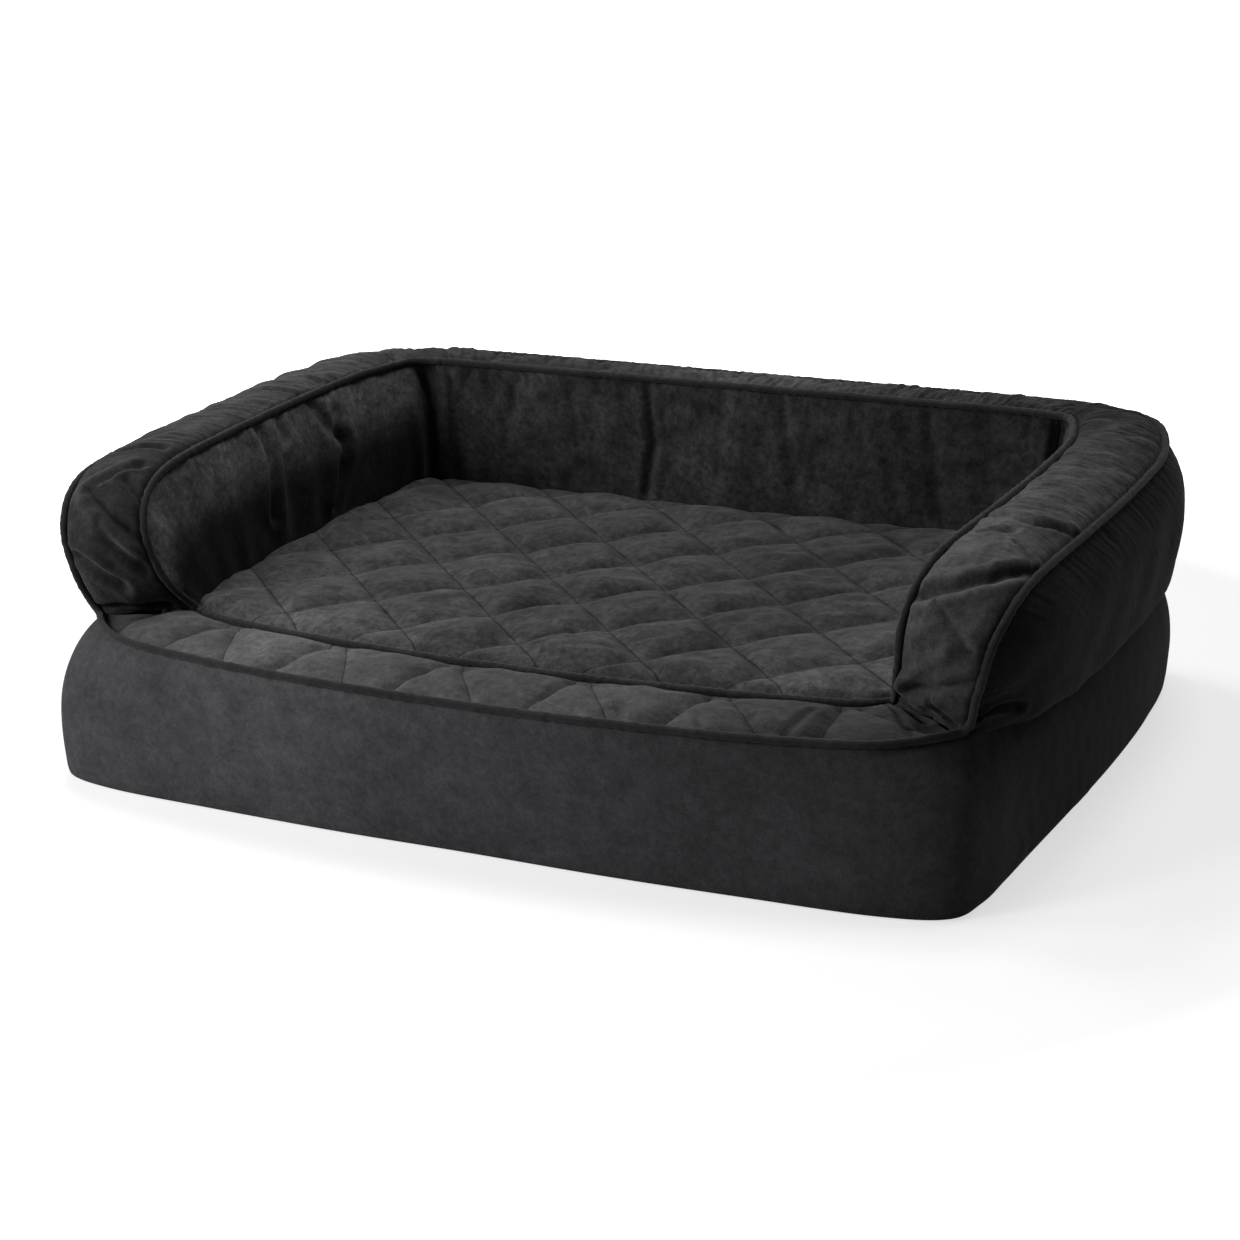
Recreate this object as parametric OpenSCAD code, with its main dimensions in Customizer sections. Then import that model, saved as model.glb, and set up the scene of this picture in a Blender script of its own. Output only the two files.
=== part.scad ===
// Dog sofa bed: a boxed foam base with a quilted sleeping panel and a three-sided stuffed
// bolster, all in a zipped velvet cover with two closed loops of piping.
// Origin: centre of the bed on the floor. +X to the right seen from the front, +Y to the back.

/* [Base] */
// Width of the base at its top seam
base_w = 902; // [800:2:1000]
// Depth of the base, from the lip's seam to the back of the bolster
base_d = 690; // [600:2:760]
// Height of the base's front seam above the floor
base_h = 141; // [110:1:180]
// How far the seam under the bolster lies below the front one
seam_drop = 15; // [0:1:25]
// How far the border's front swells between its seams
front_belly = 6; // [2:1:20]
// How far the border's sides swell between their seams
side_belly = 16; // [2:1:22]
// How far the border's back swells between its seams
back_belly = 6; // [2:1:12]
// How far the bottom seam lies inside the base's sides
hem_inset = 5; // [3:1:12]

/* [Bolster] */
// Height of the outer piping above the front seam
bolster_h = 123; // [80:1:170]
// How much higher the inner piping lies than the outer one
inner_rise = 10; // [0:1:20]
// Width of an arm where it stands on the base
arm_foot_w = 82; // [60:1:120]
// Width of the quilted strip over an arm
arm_top_w = 83; // [60:1:110]
// Width of the back where it stands on the base
back_foot_w = 84; // [60:1:120]
// Width of the quilted strip over the back
back_top_w = 79; // [60:1:110]
// How far an arm's outer piping stands out past the base seam
arm_overhang = 20; // [5:1:35]
// How far the back's outer piping lies inside the base seam
back_lean = 8; // [0:1:20]
// How far an arm's nose reaches forward past its foot
nose_reach = 75; // [40:1:100]
// Crown of the quilted strip over an arm
arm_crown = 15; // [5:1:25]
// Crown of the quilted strip over the back
back_crown = 9; // [3:1:20]
// Swell of an arm's outer panel
arm_belly = 30; // [10:1:40]
// Swell of the back's outer panel
back_swell = 17; // [5:1:24]
// Swell of the inner walls towards the sleeper
wall_belly = 7; // [2:1:14]

/* [Front lip and quilting] */
// Width of the quilted lip in front of the sleeping panel
lip_w = 92; // [60:1:120]
// Crown of the lip
lip_crown = 8; // [3:1:14]
// Half of a quilting diamond's diagonal
quilt_half = 60; // [40:1:90]
// Height of a quilting diamond's crown over its seams
quilt_puff = 8; // [3:1:12]
// Distance to the right of the quilting crossing nearest the middle
quilt_x = -8; // [-30:1:30]
// Distance to the back of the quilting crossing nearest the middle
quilt_y = 31; // [-30:1:60]

/* [Cloth and piping] */
// Thickness of the plain velvet with its backing
skin_t = 2.2; // [1.5:0.1:4]
// Thickness of the quilted cloth with its wadding
quilt_t = 5; // [3:0.5:8]
// Radius of the piping
piping_r = 3.4; // [2.5:0.1:5]
// Thickness of the non-slip bottom panel
bottom_t = 3; // [2:0.5:5]
// Thickness of the chamber floor's cloth
floor_t = 1.4; // [1:0.1:2]
// Thickness of the waterproof liner
liner_t = 0.6; // [0.4:0.1:1]

/* [Foam] */
// Height of the memory foam slab on the support foam
memory_h = 38; // [20:1:60]
// How far the foam lies inside the base seam
foam_inset = 14; // [14:1:30]

/* [Zip] */
// How far the zip's ends lie inside the base's sides
zip_inset = 181; // [181:1:280]
// Height of the zip's middle above the floor
zip_z = 40; // [34:1:60]
// Width of the tooth chain
chain_w = 6; // [4:0.5:8]
// Thickness of the tooth chain
chain_t = 2.6; // [2:0.1:4]
// Distance from tooth to tooth
tooth_pitch = 5; // [4:1:10]
// Width of one zip tape
tape_w = 13; // [10:0.5:16]
// Thickness of a zip tape
tape_t = 0.8; // [0.5:0.1:1.2]
// Height of the border's slot over the chain
slot_h = 20; // [18:0.5:24]
// Length of the slider's body
slider_l = 14; // [10:0.5:20]
// Thickness of the slider's plate
slider_t = 1.4; // [1:0.1:2]
// Thickness of the slider's flanges and ears
flange_t = 1.2; // [0.8:0.1:1.6]
// Length of the pull tab
pull_l = 34; // [20:1:50]
// Width of the pull tab
pull_w = 7; // [5:0.5:10]
// Thickness of the pull tab
pull_t = 1.4; // [1:0.1:2]
// Radius of the pin that the pull tab swings on
pin_r = 0.9; // [0.6:0.1:1.2]
// Length of the fabric garage over the zip's closed end
garage_l = 28; // [20:1:40]

/* [Fits] */
// Gap between two panels at a plain seam
seam_gap = 0.4; // [0.2:0.1:1]
// Gap between stacked or nested pieces
fit_gap = 0.4; // [0.2:0.1:0.6]
// Running clearance of the slider and the pull tab
run_gap = 0.3; // [0.2:0.05:0.5]

/* [Hidden] */

velvet = "#303033";
velvet_dark = "#232325";
velvet_border = "#2b2b30";
foam_grey = "#8d9096";
foam_cream = "#d9d0b8";
fibre_white = "#e4e4e0";
liner_blue = "#5d6b7c";
grip_black = "#19191b";
zip_black = "#101012";

// The loop of stations round half of the bed, from the middle of the lip to the middle of
// the back. Each row holds the base seam's place as shares of the half width and the half
// depth, the direction across the strip in degrees, shares of the bolster's rise, of the
// nose's reach, of the lip and of the back, the place of the base's side, whose corners are
// squarer than the seam's, and the share of its width that the quilted strip has there.
loop_shares = [
    [0, -1, 90, 0, 0, 1, 0, 0, -0.988, 1],
    [0.29, -0.988, 92, 0, 0, 1, 0, 0.29, -0.991, 1],
    [0.577, -0.953, 97, 0, 0, 1, 0, 0.579, -0.98, 1],
    [0.81, -0.885, 118, 0, 0, 1, 0, 0.831, -0.962, 1],
    [0.933, -0.742, 148, 0, 0, 1, 0, 0.967, -0.907, 0.96],
    [0.962, -0.643, 162, 0.3, 0.55, 0.5, 0, 1, -0.788, 0.9],
    [0.975, -0.539, 172, 0.7, 0.95, 0.2, 0, 1.007, -0.638, 0.94],
    [0.986, -0.406, 176, 0.96, 0.85, 0.05, 0, 1.011, -0.464, 0.99],
    [0.998, -0.116, 180, 1, 0.3, 0, 0, 1.02, -0.116, 1],
    [1, 0.2, 181, 1, 0, 0, 0, 1.024, 0.217, 1],
    [0.985, 0.52, 186, 1, 0, 0, 0.05, 1.016, 0.542, 1],
    [0.93, 0.8, 216, 1, 0, 0, 0.45, 0.987, 0.817, 1],
    [0.8, 0.93, 246, 1, 0, 0, 0.85, 0.885, 0.954, 1],
    [0.66, 0.965, 266, 1, 0, 0, 1, 0.66, 0.968, 1],
    [0.33, 0.968, 270, 1, 0, 0, 1, 0.33, 0.968, 1],
    [0, 0.968, 270, 1, 0, 0, 1, 0, 0.968, 1]
];
loop_end = len(loop_shares) - 1;
// Where a nose's foot and a back corner lie, as shares of half the loop
nose_foot_share = 4 / 15;
corner_share = 11.5 / 15;
nose_foot = nose_foot_share * loop_end;
corner = corner_share * loop_end;
steps = 2;

// Profiles across a panel, as shares of its swell, its droop, its crown or its height
belly_shares = [0, 0.62, 0.92, 1, 0.98, 0.8, 0];
droop_shares = [0, 0, 0, 0.05, 0.35, 0.9, 0];
border_shares = [0, 0.75, 1, 0.95, 0.6, 0];
border_z_shares = [1, 0.78, 0.5, 0.24, 0.07, 0];
wall_shares = [0, 0.7, 1, 0.8, 0];
crown_shares = [0.12, 0.8, 1, 0.8, 0.12];

half_w = base_w / 2;
half_d = base_d / 2;
edge_gap = piping_r + fit_gap;
nose_core = 0.7 * nose_reach;
panel_droop = 0.12 * bolster_h;
hem_z = bottom_t / 2;
pad_z = base_h - edge_gap;
stuffing_z = pad_z + floor_t + fit_gap;
liner_z = bottom_t + fit_gap;
liner_top = pad_z - fit_gap;
foam_z = liner_z + liner_t + fit_gap;
foam_top = liner_top - liner_t - fit_gap;
memory_z = foam_top - memory_h;
small_step = 0.02;

function mix(a, b, s) = a + (b - a) * s;
function unit(v) = v / norm(v);
function limit(low, high, x) = max(low, min(high, x));
function flat(lists) = [for (l = lists) each l];
function middle(points) = [for (c = [0 : 2]) [for (p = points) p[c]] * [for (p = points) 1] / len(points)];
function even(a, b, n) = [for (i = [0 : n]) mix(a, b, i / n)];
function at_share(list, s) =
    let (x = s * (len(list) - 1), i = limit(0, len(list) - 2, floor(x)))
    mix(list[i], list[i + 1], x - i);

// A smooth curve through four rows, from the second to the third
function curve(a, b, c, d, s) =
    0.5 * (2 * b + (c - a) * s + (2 * a - 5 * b + 4 * c - d) * s * s
        + (3 * b - a - 3 * c + d) * s * s * s);
function mirrored_row(r) =
    [-r[0], r[1], (r[2] < 180 ? 180 : 540) - r[2], r[3], r[4], r[5], r[6], -r[7], r[8], r[9]];
function loop_row(i) =
    i < 0 ? mirrored_row(loop_shares[-i])
    : i > loop_end ? mirrored_row(loop_shares[2 * loop_end - i])
    : loop_shares[i];
function station(t) =
    let (
        a = abs(t),
        i = min(floor(a), loop_end - 1),
        r = curve(loop_row(i - 1), loop_row(i), loop_row(i + 1), loop_row(i + 2), a - i)
    )
    [
        r[0], r[1], r[2], limit(0, 1, r[3]), max(0, r[4]), limit(0, 1, r[5]), limit(0, 1, r[6]),
        r[7], r[8], r[9]
    ];

// Points of the seams on the right half. blend() gives a size's value at lip, arm or back.
function blend(s, lip, arm, back) = s[5] * lip + s[6] * back + (1 - s[5] - s[6]) * arm;
function across(s) = [cos(s[2]), sin(s[2]), 0];
function base_point(s) = [s[0] * half_w, s[1] * half_d, base_h - seam_drop * (1 - s[5])];
function outer_point(s) =
    [s[0] * half_w, s[1] * half_d - s[4] * nose_reach, base_h + s[3] * bolster_h]
    - across(s) * blend(s, 0, arm_overhang, -back_lean) * s[3];
function inner_point(s) =
    outer_point(s)
    + across(s) * blend(s, lip_w, arm_top_w, back_top_w) * s[9]
    + [0, 0, inner_rise * s[3]];
function at_height(p, z) = [p[0], p[1], z];
function foot_point(s) =
    at_height(base_point(s) + across(s) * blend(s, lip_w, arm_foot_w, back_foot_w), base_h);
function side_point(s) = [s[7] * half_w, s[8] * half_d, hem_z];
function hem_point(s) = side_point(s) + across(s) * hem_inset;

// The points inside the bolster and the base that a panel's thickness runs towards
function bolster_core(s) =
    (inner_point(s) + outer_point(s) + foot_point(s) + base_point(s)) / 4
    + pow(1 - s[3], 2) * [0, nose_core, 0.6 * nose_core];
function base_core(s) = at_height(base_point(s) + across(s) * lip_w, base_h / 2);

// Direction along the inner or the outer piping
function seam_point(s, inner) = inner ? inner_point(s) : outer_point(s);
function run_along(t, inner) =
    let (a = max(t, small_step))
    unit(seam_point(station(a + small_step), inner) - seam_point(station(a - small_step), inner));

// The cover's surfaces on the right half: t runs along the loop, v from 0 to 1 across a panel
function strip_crown(t, s) =
    min(1, 0.15 + 1.2 * abs(t - nose_foot)) * blend(s, lip_crown, arm_crown, back_crown);
function strip_point(t, v) =
    let (
        s = station(t),
        a = inner_point(s),
        b = outer_point(s),
        up = unit(cross(b - a, run_along(t, true) + run_along(t, false)))
    )
    mix(a, b, v) + up * strip_crown(t, s) * at_share(crown_shares, v);
function wall_point(t, v) =
    let (s = station(t))
    mix(inner_point(s), foot_point(s), v) + across(s) * wall_belly * s[3] * at_share(wall_shares, v);
function panel_point(t, v) =
    let (s = station(t))
    mix(outer_point(s), base_point(s), v)
    - across(s) * blend(s, 0, arm_belly, back_swell) * s[3] * at_share(belly_shares, v)
    - [0, 0, panel_droop * s[3] * at_share(droop_shares, v)];
function border_point(t, v) =
    let (
        s = station(t),
        top = base_point(s),
        low = hem_point(s),
        k = at_share(border_z_shares, v)
    )
    at_height(mix(low, top, k * k), mix(low[2], top[2], k))
    - across(s) * blend(s, front_belly, side_belly, back_belly) * at_share(border_shares, v);

// What each kind of panel needs: its point, its width, its gaps at both seams and its columns
function surface_point(kind, t, v) =
    kind == "strip" ? strip_point(t, v)
    : kind == "wall" ? wall_point(t, v)
    : kind == "panel" ? panel_point(t, v)
    : border_point(t, v);
function surface_width(kind, s) =
    kind == "strip" ? norm(inner_point(s) - outer_point(s))
    : kind == "wall" ? norm(inner_point(s) - foot_point(s))
    : kind == "panel" ? norm(outer_point(s) - base_point(s))
    : base_h;
// A wall or an outer panel that meets its piping at a slant starts further from it
least_slant_share = 0.25;
function slant_gap(t, s, inner, end) =
    (edge_gap + 2 * fit_gap) / max(least_slant_share, norm(cross(run_along(t, inner), unit(end - seam_point(s, inner)))));
function surface_gaps(kind, t, s) =
    kind == "strip" ? [edge_gap + (1 + s[5]) * fit_gap, edge_gap]
    : kind == "border" ? [mix(seam_gap, edge_gap, s[5]), 0]
    : kind == "wall" ? [slant_gap(t, s, true, foot_point(s)), seam_gap]
    : [slant_gap(t, s, false, base_point(s)), seam_gap];
function surface_columns(kind) = kind == "panel" ? 6 : kind == "border" ? 5 : 4;
function surface_core(kind, s) = kind == "border" ? base_core(s) : bolster_core(s);

function sided(t, p) = [(t < 0 ? -1 : 1) * p[0], p[1], p[2]];
function sunk(p, core, depth) = p + unit(core - p) * depth;
function surface_row(kind, t, depth) =
    let (
        s = station(t),
        width = surface_width(kind, s),
        gaps = surface_gaps(kind, abs(t), s),
        core = surface_core(kind, s)
    )
    [
        for (v = even(gaps[0] / width, 1 - gaps[1] / width, surface_columns(kind)))
            let (p = surface_point(kind, abs(t), v))
            sided(t, depth == 0 ? p : sunk(p, core, depth))
    ];

// Places along the loop from a to b: both ends and the regular ones between
function places(a, b) =
    [a, for (i = [ceil(a * steps + 0.25) : floor(b * steps - 0.25)]) i / steps, b];
// Half the gap at a seam that crosses the loop at place t, as a part of a station
function slip(t) = 0.5 * seam_gap / norm(base_point(station(t + 0.5)) - base_point(station(t - 0.5)));
corner_slip = slip(corner);
foot_slip = slip(nose_foot);
back_places = concat(
    places(corner + corner_slip, loop_end),
    places(-loop_end + 1 / steps, -corner - corner_slip)
);
left_places = places(-corner + corner_slip, -nose_foot - foot_slip);
right_places = places(nose_foot + foot_slip, corner - corner_slip);

// Faces of four corners, and of a grid of points, as triangles
function quad(a, b, c, d) = [[a, b, c], [a, c, d]];
function grid_faces(rows, cols, first, flip) = [
    for (i = [0 : rows - 2], j = [0 : cols - 2])
        let (a = first + i * cols + j, b = a + cols)
        each (flip ? quad(a, a + 1, b + 1, b) : quad(a, b, b + 1, a + 1))
];
// The numbers of a grid's outer points, once round
function rim(rows, cols) = concat(
    [for (j = [0 : cols - 2]) j],
    [for (i = [0 : rows - 2]) (i + 1) * cols - 1],
    [for (j = [cols - 1 : -1 : 1]) (rows - 1) * cols + j],
    [for (i = [rows - 1 : -1 : 1]) i * cols]
);

// A sheet with thickness: two like grids of points, joined round their rims
module sheet(top, under) {
    rows = len(top);
    cols = len(top[0]);
    n = rows * cols;
    r = rim(rows, cols);
    polyhedron(
        points = concat(flat(top), flat(under)),
        faces = concat(
            grid_faces(rows, cols, 0, false),
            grid_faces(rows, cols, n, true),
            [
                for (i = [0 : len(r) - 1])
                    let (a = r[i], b = r[(i + 1) % len(r)])
                    each quad(a, b, b + n, a + n)
            ]
        )
    );
}

// A pad: one grid of points over a flat underside at height z
module pad(top, z) {
    rows = len(top);
    cols = len(top[0]);
    points = flat(top);
    n = rows * cols;
    r = rim(rows, cols);
    m = len(r);
    under = [for (a = r) at_height(points[a], z)];
    polyhedron(
        points = concat(points, under, [middle(under)]),
        faces = concat(
            grid_faces(rows, cols, 0, false),
            [for (i = [0 : m - 1]) let (k = (i + 1) % m) each quad(r[i], r[k], n + k, n + i)],
            [for (i = [0 : m - 1]) [n + i, n + (i + 1) % m, n + m]]
        )
    );
}

// A panel of the cover, at the places given along the loop
module cover_panel(kind, ts, depth) {
    face = [for (t = ts) surface_row(kind, t, 0)];
    lining = [for (t = ts) surface_row(kind, t, depth)];
    if (kind == "wall") sheet(lining, face);
    else sheet(face, lining);
}

// A solid through rings of points, open or closed on itself
module loft(rings, closed) {
    n = len(rings);
    m = len(rings[0]);
    last = closed ? n - 1 : n - 2;
    sides = [
        for (i = [0 : last], k = [0 : m - 1])
            let (a = i * m, b = (i + 1) % n * m, turn = (k + 1) % m)
            each quad(a + k, b + k, b + turn, a + turn)
    ];
    ends = closed ? [] : [
        for (k = [0 : m - 1])
            let (turn = (k + 1) % m)
            each [[n * m, k, turn], [n * m + 1, n * m - m + turn, n * m - m + k]]
    ];
    polyhedron(
        points = concat(flat(rings), closed ? [] : [middle(rings[0]), middle(rings[n - 1])]),
        faces = concat(sides, ends)
    );
}

// Piping: a round tube along one of the two closed loops
piping_sides = 6;
function piping_ring(t, inner) =
    let (
        s = station(t),
        p = sided(t, seam_point(s, inner)),
        r = run_along(abs(t), inner),
        run = t < 0 ? [r[0], -r[1], -r[2]] : r,
        toward = sided(t, mix(base_core(s), bolster_core(s), min(1, 3 * s[3]))) - p,
        in = unit(toward - run * (toward * run)),
        over = cross(run, in)
    )
    [
        for (k = [0 : piping_sides - 1])
            let (a = 360 * k / piping_sides)
            p + piping_r * (cos(a) * in + sin(a) * over)
    ];
module piping(inner) {
    count = 2 * loop_end * steps;
    loft([for (i = [0 : count - 1]) piping_ring(i / steps - loop_end, inner)], true);
}

// Filling: a ring of points round the bolster's section, inside its cover
function filling_ring(t) =
    let (
        a = abs(t),
        s = station(t),
        core = bolster_core(s),
        thin = skin_t + 2 * fit_gap,
        wall = [for (v = [0.94, 0.5]) sunk(wall_point(a, v), core, thin)],
        top = [for (v = [0, 0.5, 1]) sunk(strip_point(a, v), core, quilt_t + edge_gap)],
        side = [for (v = [0.34, 0.67]) sunk(panel_point(a, v), core, thin)],
        heel = [sunk(at_height(base_point(s), stuffing_z), core, thin)],
        toe = [sunk(at_height(foot_point(s), stuffing_z), core, thin)]
    )
    [for (p = concat(toe, wall, top, side, heel)) sided(t, at_height(p, max(stuffing_z, p[2])))];
module filling(ts) {
    loft([for (t = ts) filling_ring(t)], false);
}

// Flat pieces: their outlines lie between the base's top seam, at 0, and its sides, at 1
function all_round(where, inset) = [
    for (i = [-loop_end * steps : loop_end * steps - 1])
        let (
            t = i / steps,
            s = station(t),
            p = sided(t, mix(base_point(s), side_point(s), where) + across(s) * inset)
        )
        [p[0], p[1]]
];
module slab(where, inset, z, h) {
    translate([0, 0, z])
        linear_extrude(h)
            polygon(all_round(where, inset));
}

// Foam, liner and the two flat cloths. The support foam's corners are squarer than the
// memory foam's, which the top seam pulls in.
slit_w = 2 * floor_t;
mouth_h = (foam_top - foam_z) / 2;
floor_inset = skin_t + 2 * fit_gap;
support_share = 0.45;
foam_outline = foam_inset + liner_t + fit_gap;
module support_foam_slab() {
    color(foam_grey)
        slab(support_share, foam_outline, foam_z, memory_z - fit_gap - foam_z);
}
module memory_foam_slab() {
    color(foam_cream)
        slab(0, foam_outline, memory_z, memory_h);
}
// The liner is a bag with its mouth at the back, behind the zip
module foam_liner() {
    color(liner_blue)
        difference() {
            union() {
                slab(support_share, foam_inset, liner_z, memory_z + liner_t - liner_z);
                slab(0, foam_inset, liner_z, liner_top - liner_z);
            }
            slab(support_share, foam_inset + liner_t, foam_z - fit_gap, memory_z - foam_z + fit_gap);
            slab(0, foam_inset + liner_t, foam_z - fit_gap, foam_top + 2 * fit_gap - foam_z);
            translate([-zip_l / 2, half_d / 2, foam_z])
                cube([zip_l, half_d, mouth_h]);
        }
}
module bottom_panel() {
    color(grip_black)
        slab(1, hem_inset + skin_t + fit_gap, 0, bottom_t);
}
filling_start = nose_foot + 0.75;
// The chamber floor closes the bolster underneath, with a slit for the fillings in its back
module chamber_floor() {
    ts = places(filling_start, loop_end);
    outside = [for (t = ts) let (s = station(t)) base_point(s) + across(s) * floor_inset];
    inside = [for (t = ts) let (s = station(t)) foot_point(s) - across(s) * edge_gap];
    n = len(ts) - 1;
    half = concat(
        [for (i = [0 : n]) [outside[i][0], outside[i][1]]],
        [for (i = [n : -1 : 0]) [inside[i][0], inside[i][1]]]
    );
    color(fibre_white)
        translate([0, 0, pad_z])
            linear_extrude(floor_t)
                difference() {
                    union() {
                        polygon(half);
                        mirror([1, 0, 0])
                            polygon(half);
                    }
                    translate([-zip_l / 3, outside[n][1] - back_foot_w / 2])
                        square([zip_l * 2 / 3, slit_w]);
                }
}

// The three stuffed fillings
module left_arm_filling() {
    color(fibre_white)
        filling(places(-corner + corner_slip, -filling_start));
}
module back_filling() {
    color(fibre_white)
        filling(back_places);
}
module right_arm_filling() {
    color(fibre_white)
        filling(places(filling_start, corner - corner_slip));
}

// Sleeping panel: a pad whose quilting seams follow the grid's own diagonals
quilt_cells = 2;
quilt_step = quilt_half / quilt_cells;
squeeze = 0.2 * quilt_step;
side_line = [
    for (t = places(nose_foot, corner))
        let (p = foot_point(station(t)))
        [p[1], p[0] - seam_gap]
];
back_line = [
    for (t = places(-loop_end, -corner))
        let (p = foot_point(station(t)))
        [p[0], p[1] - seam_gap]
];
front_line = [
    for (t = places(0, nose_foot))
        let (s = station(t), p = inner_point(s) + across(s) * edge_gap)
        [p[0], p[1]]
];
panel_x = max([for (p = side_line) p[1]]);
panel_front = min([for (p = front_line) p[1]]);
panel_back = max([for (p = back_line) p[1]]);
function quilt_puff_at(x, y) =
    let (
        p = (x - quilt_x + y - quilt_y) / (2 * quilt_half),
        q = (x - quilt_x - y + quilt_y) / (2 * quilt_half)
    )
    sqrt(abs(sin(180 * p) * sin(180 * q)));
function quilt_lines(low, high, offset) = [
    low - quilt_step,
    for (k = [ceil((low - offset) / quilt_step + 0.3) : floor((high - offset) / quilt_step - 0.3)])
        offset + k * quilt_step,
    high + quilt_step
];
module sleep_panel() {
    xs = quilt_lines(-panel_x, panel_x, quilt_x);
    ys = quilt_lines(panel_front, panel_back, quilt_y);
    nx = len(xs) - 1;
    ny = len(ys) - 1;
    top = [
        for (i = [0 : nx]) [
            for (j = [0 : ny])
                let (
                    wide = lookup(ys[j], side_line),
                    x = limit(-wide + i * squeeze, wide - (nx - i) * squeeze, xs[i]),
                    y = limit(
                        lookup(abs(x), front_line) + j * squeeze,
                        lookup(abs(x), back_line) - (ny - j) * squeeze,
                        ys[j]
                    ),
                    inside = min(1, min(min(i, nx - i), min(j, ny - j)))
                )
                [x, y, base_h + inside * quilt_puff * quilt_puff_at(x, y)]
        ]
    ];
    color(velvet)
        pad([for (i = [nx : -1 : 0]) top[i]], pad_z);
}
// Lip: the quilted strip's stretch on the base, with its wadding down to the foam
module front_lip() {
    ts = places(-nose_foot + foot_slip, nose_foot - foot_slip);
    top = [for (t = ts) surface_row("strip", t, 0)];
    color(velvet)
        sheet(top, [for (r = top) [for (p = r) at_height(p, pad_z)]]);
}

// Bolster tops with the arms' noses, inner walls and outer panels
nose_side = nose_foot + 0.5;
left_side_places = places(-corner + corner_slip, -nose_side);
right_side_places = places(nose_side, corner - corner_slip);
module left_arm_top() {
    color(velvet)
        cover_panel("strip", left_places, quilt_t);
}
module right_arm_top() {
    color(velvet)
        cover_panel("strip", right_places, quilt_t);
}
module back_top() {
    color(velvet)
        cover_panel("strip", back_places, quilt_t);
}
module left_arm_inner() {
    color(velvet_dark)
        cover_panel("wall", left_side_places, skin_t);
}
module right_arm_inner() {
    color(velvet_dark)
        cover_panel("wall", right_side_places, skin_t);
}
module back_inner() {
    color(velvet_dark)
        cover_panel("wall", back_places, skin_t);
}
module left_arm_outer() {
    color(velvet_dark)
        cover_panel("panel", left_side_places, skin_t);
}
module right_arm_outer() {
    color(velvet_dark)
        cover_panel("panel", right_side_places, skin_t);
}
module back_outer() {
    color(velvet_dark)
        cover_panel("panel", back_places, skin_t);
}

// Border round the front and sides, and the back border with its slot for the zip
module border_wrap() {
    color(velvet_border)
        cover_panel("border", places(-corner + corner_slip, corner - corner_slip), skin_t);
}
module back_border() {
    color(velvet_border)
        difference() {
            cover_panel("border", back_places, skin_t);
            translate([-zip_l / 2 - stop_l, half_d / 2, zip_z - slot_h / 2])
                cube([zip_l + 2 * stop_l, half_d, slot_h]);
        }
}
module inner_piping() {
    color(velvet)
        piping(true);
}
module outer_piping() {
    color(velvet)
        piping(false);
}

// Zip across the back border. Its chain lies level with the border's inner face.
zip_l = base_w - 2 * zip_inset;
stop_l = chain_w;
border_heights = [
    for (i = [len(border_z_shares) - 1 : -1 : 0])
        [border_z_shares[i], i / (len(border_z_shares) - 1)]
];
function back_face(z) =
    let (s = station(loop_end), k = (z - hem_z) / (base_point(s)[2] - hem_z))
    border_point(loop_end, lookup(k, border_heights))[1];
tape_z = chain_w / 2 + fit_gap;
upper_y = back_face(zip_z + slot_h / 2) - skin_t - 2 * fit_gap;
lower_y = back_face(zip_z - tape_z - tape_w) - skin_t - 2 * fit_gap;
chain_y = max(upper_y, lower_y) - tape_t / 2;
plate_y = chain_y + chain_t / 2 + run_gap;
stop_y = plate_y + slider_t / 2;
slider_w = chain_w + 2 * run_gap + 2 * flange_t;
slider_x = -zip_l / 2 + slider_l / 2 + fit_gap;
knuckle_r = pin_r + run_gap + pull_t / 2;
pin_y = plate_y + slider_t + run_gap + knuckle_r;
ear_gap = pull_w / 2 + 2 * run_gap;

module tape(z, y) {
    translate([-zip_l / 2 - stop_l, y - tape_t, z])
        cube([zip_l + 2 * stop_l, tape_t, tape_w]);
}
module zip_tape_upper() {
    color(zip_black)
        tape(zip_z + tape_z, upper_y);
}
module zip_tape_lower() {
    color(zip_black)
        tape(zip_z - tape_z - tape_w, lower_y);
}
// One solid: a thin core with a tooth at each pitch
module zip_chain() {
    count = floor(zip_l / tooth_pitch);
    tooth = tooth_pitch / 2;
    deep = chain_t / 2;
    core = deep / 2;
    start = -count * tooth_pitch / 2;
    face = [
        for (i = [0 : count - 1])
            let (x = start + i * tooth_pitch)
            each [[x, deep], [x + tooth, deep], [x + tooth, core], [x + tooth_pitch, core]]
    ];
    back = [for (i = [len(face) - 1 : -1 : 0]) [face[i][0], -face[i][1]]];
    color(zip_black)
        translate([0, chain_y, zip_z - chain_w / 2])
            linear_extrude(chain_w)
                polygon(concat(face, back));
}
module zip_end_stops() {
    color(zip_black)
        for (x = [-zip_l / 2 - stop_l + fit_gap, zip_l / 2 + fit_gap])
            translate([x, chain_y - chain_t / 2, zip_z - chain_w / 2])
                cube([stop_l - 2 * fit_gap, stop_y - chain_y + chain_t / 2, chain_w]);
}
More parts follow.
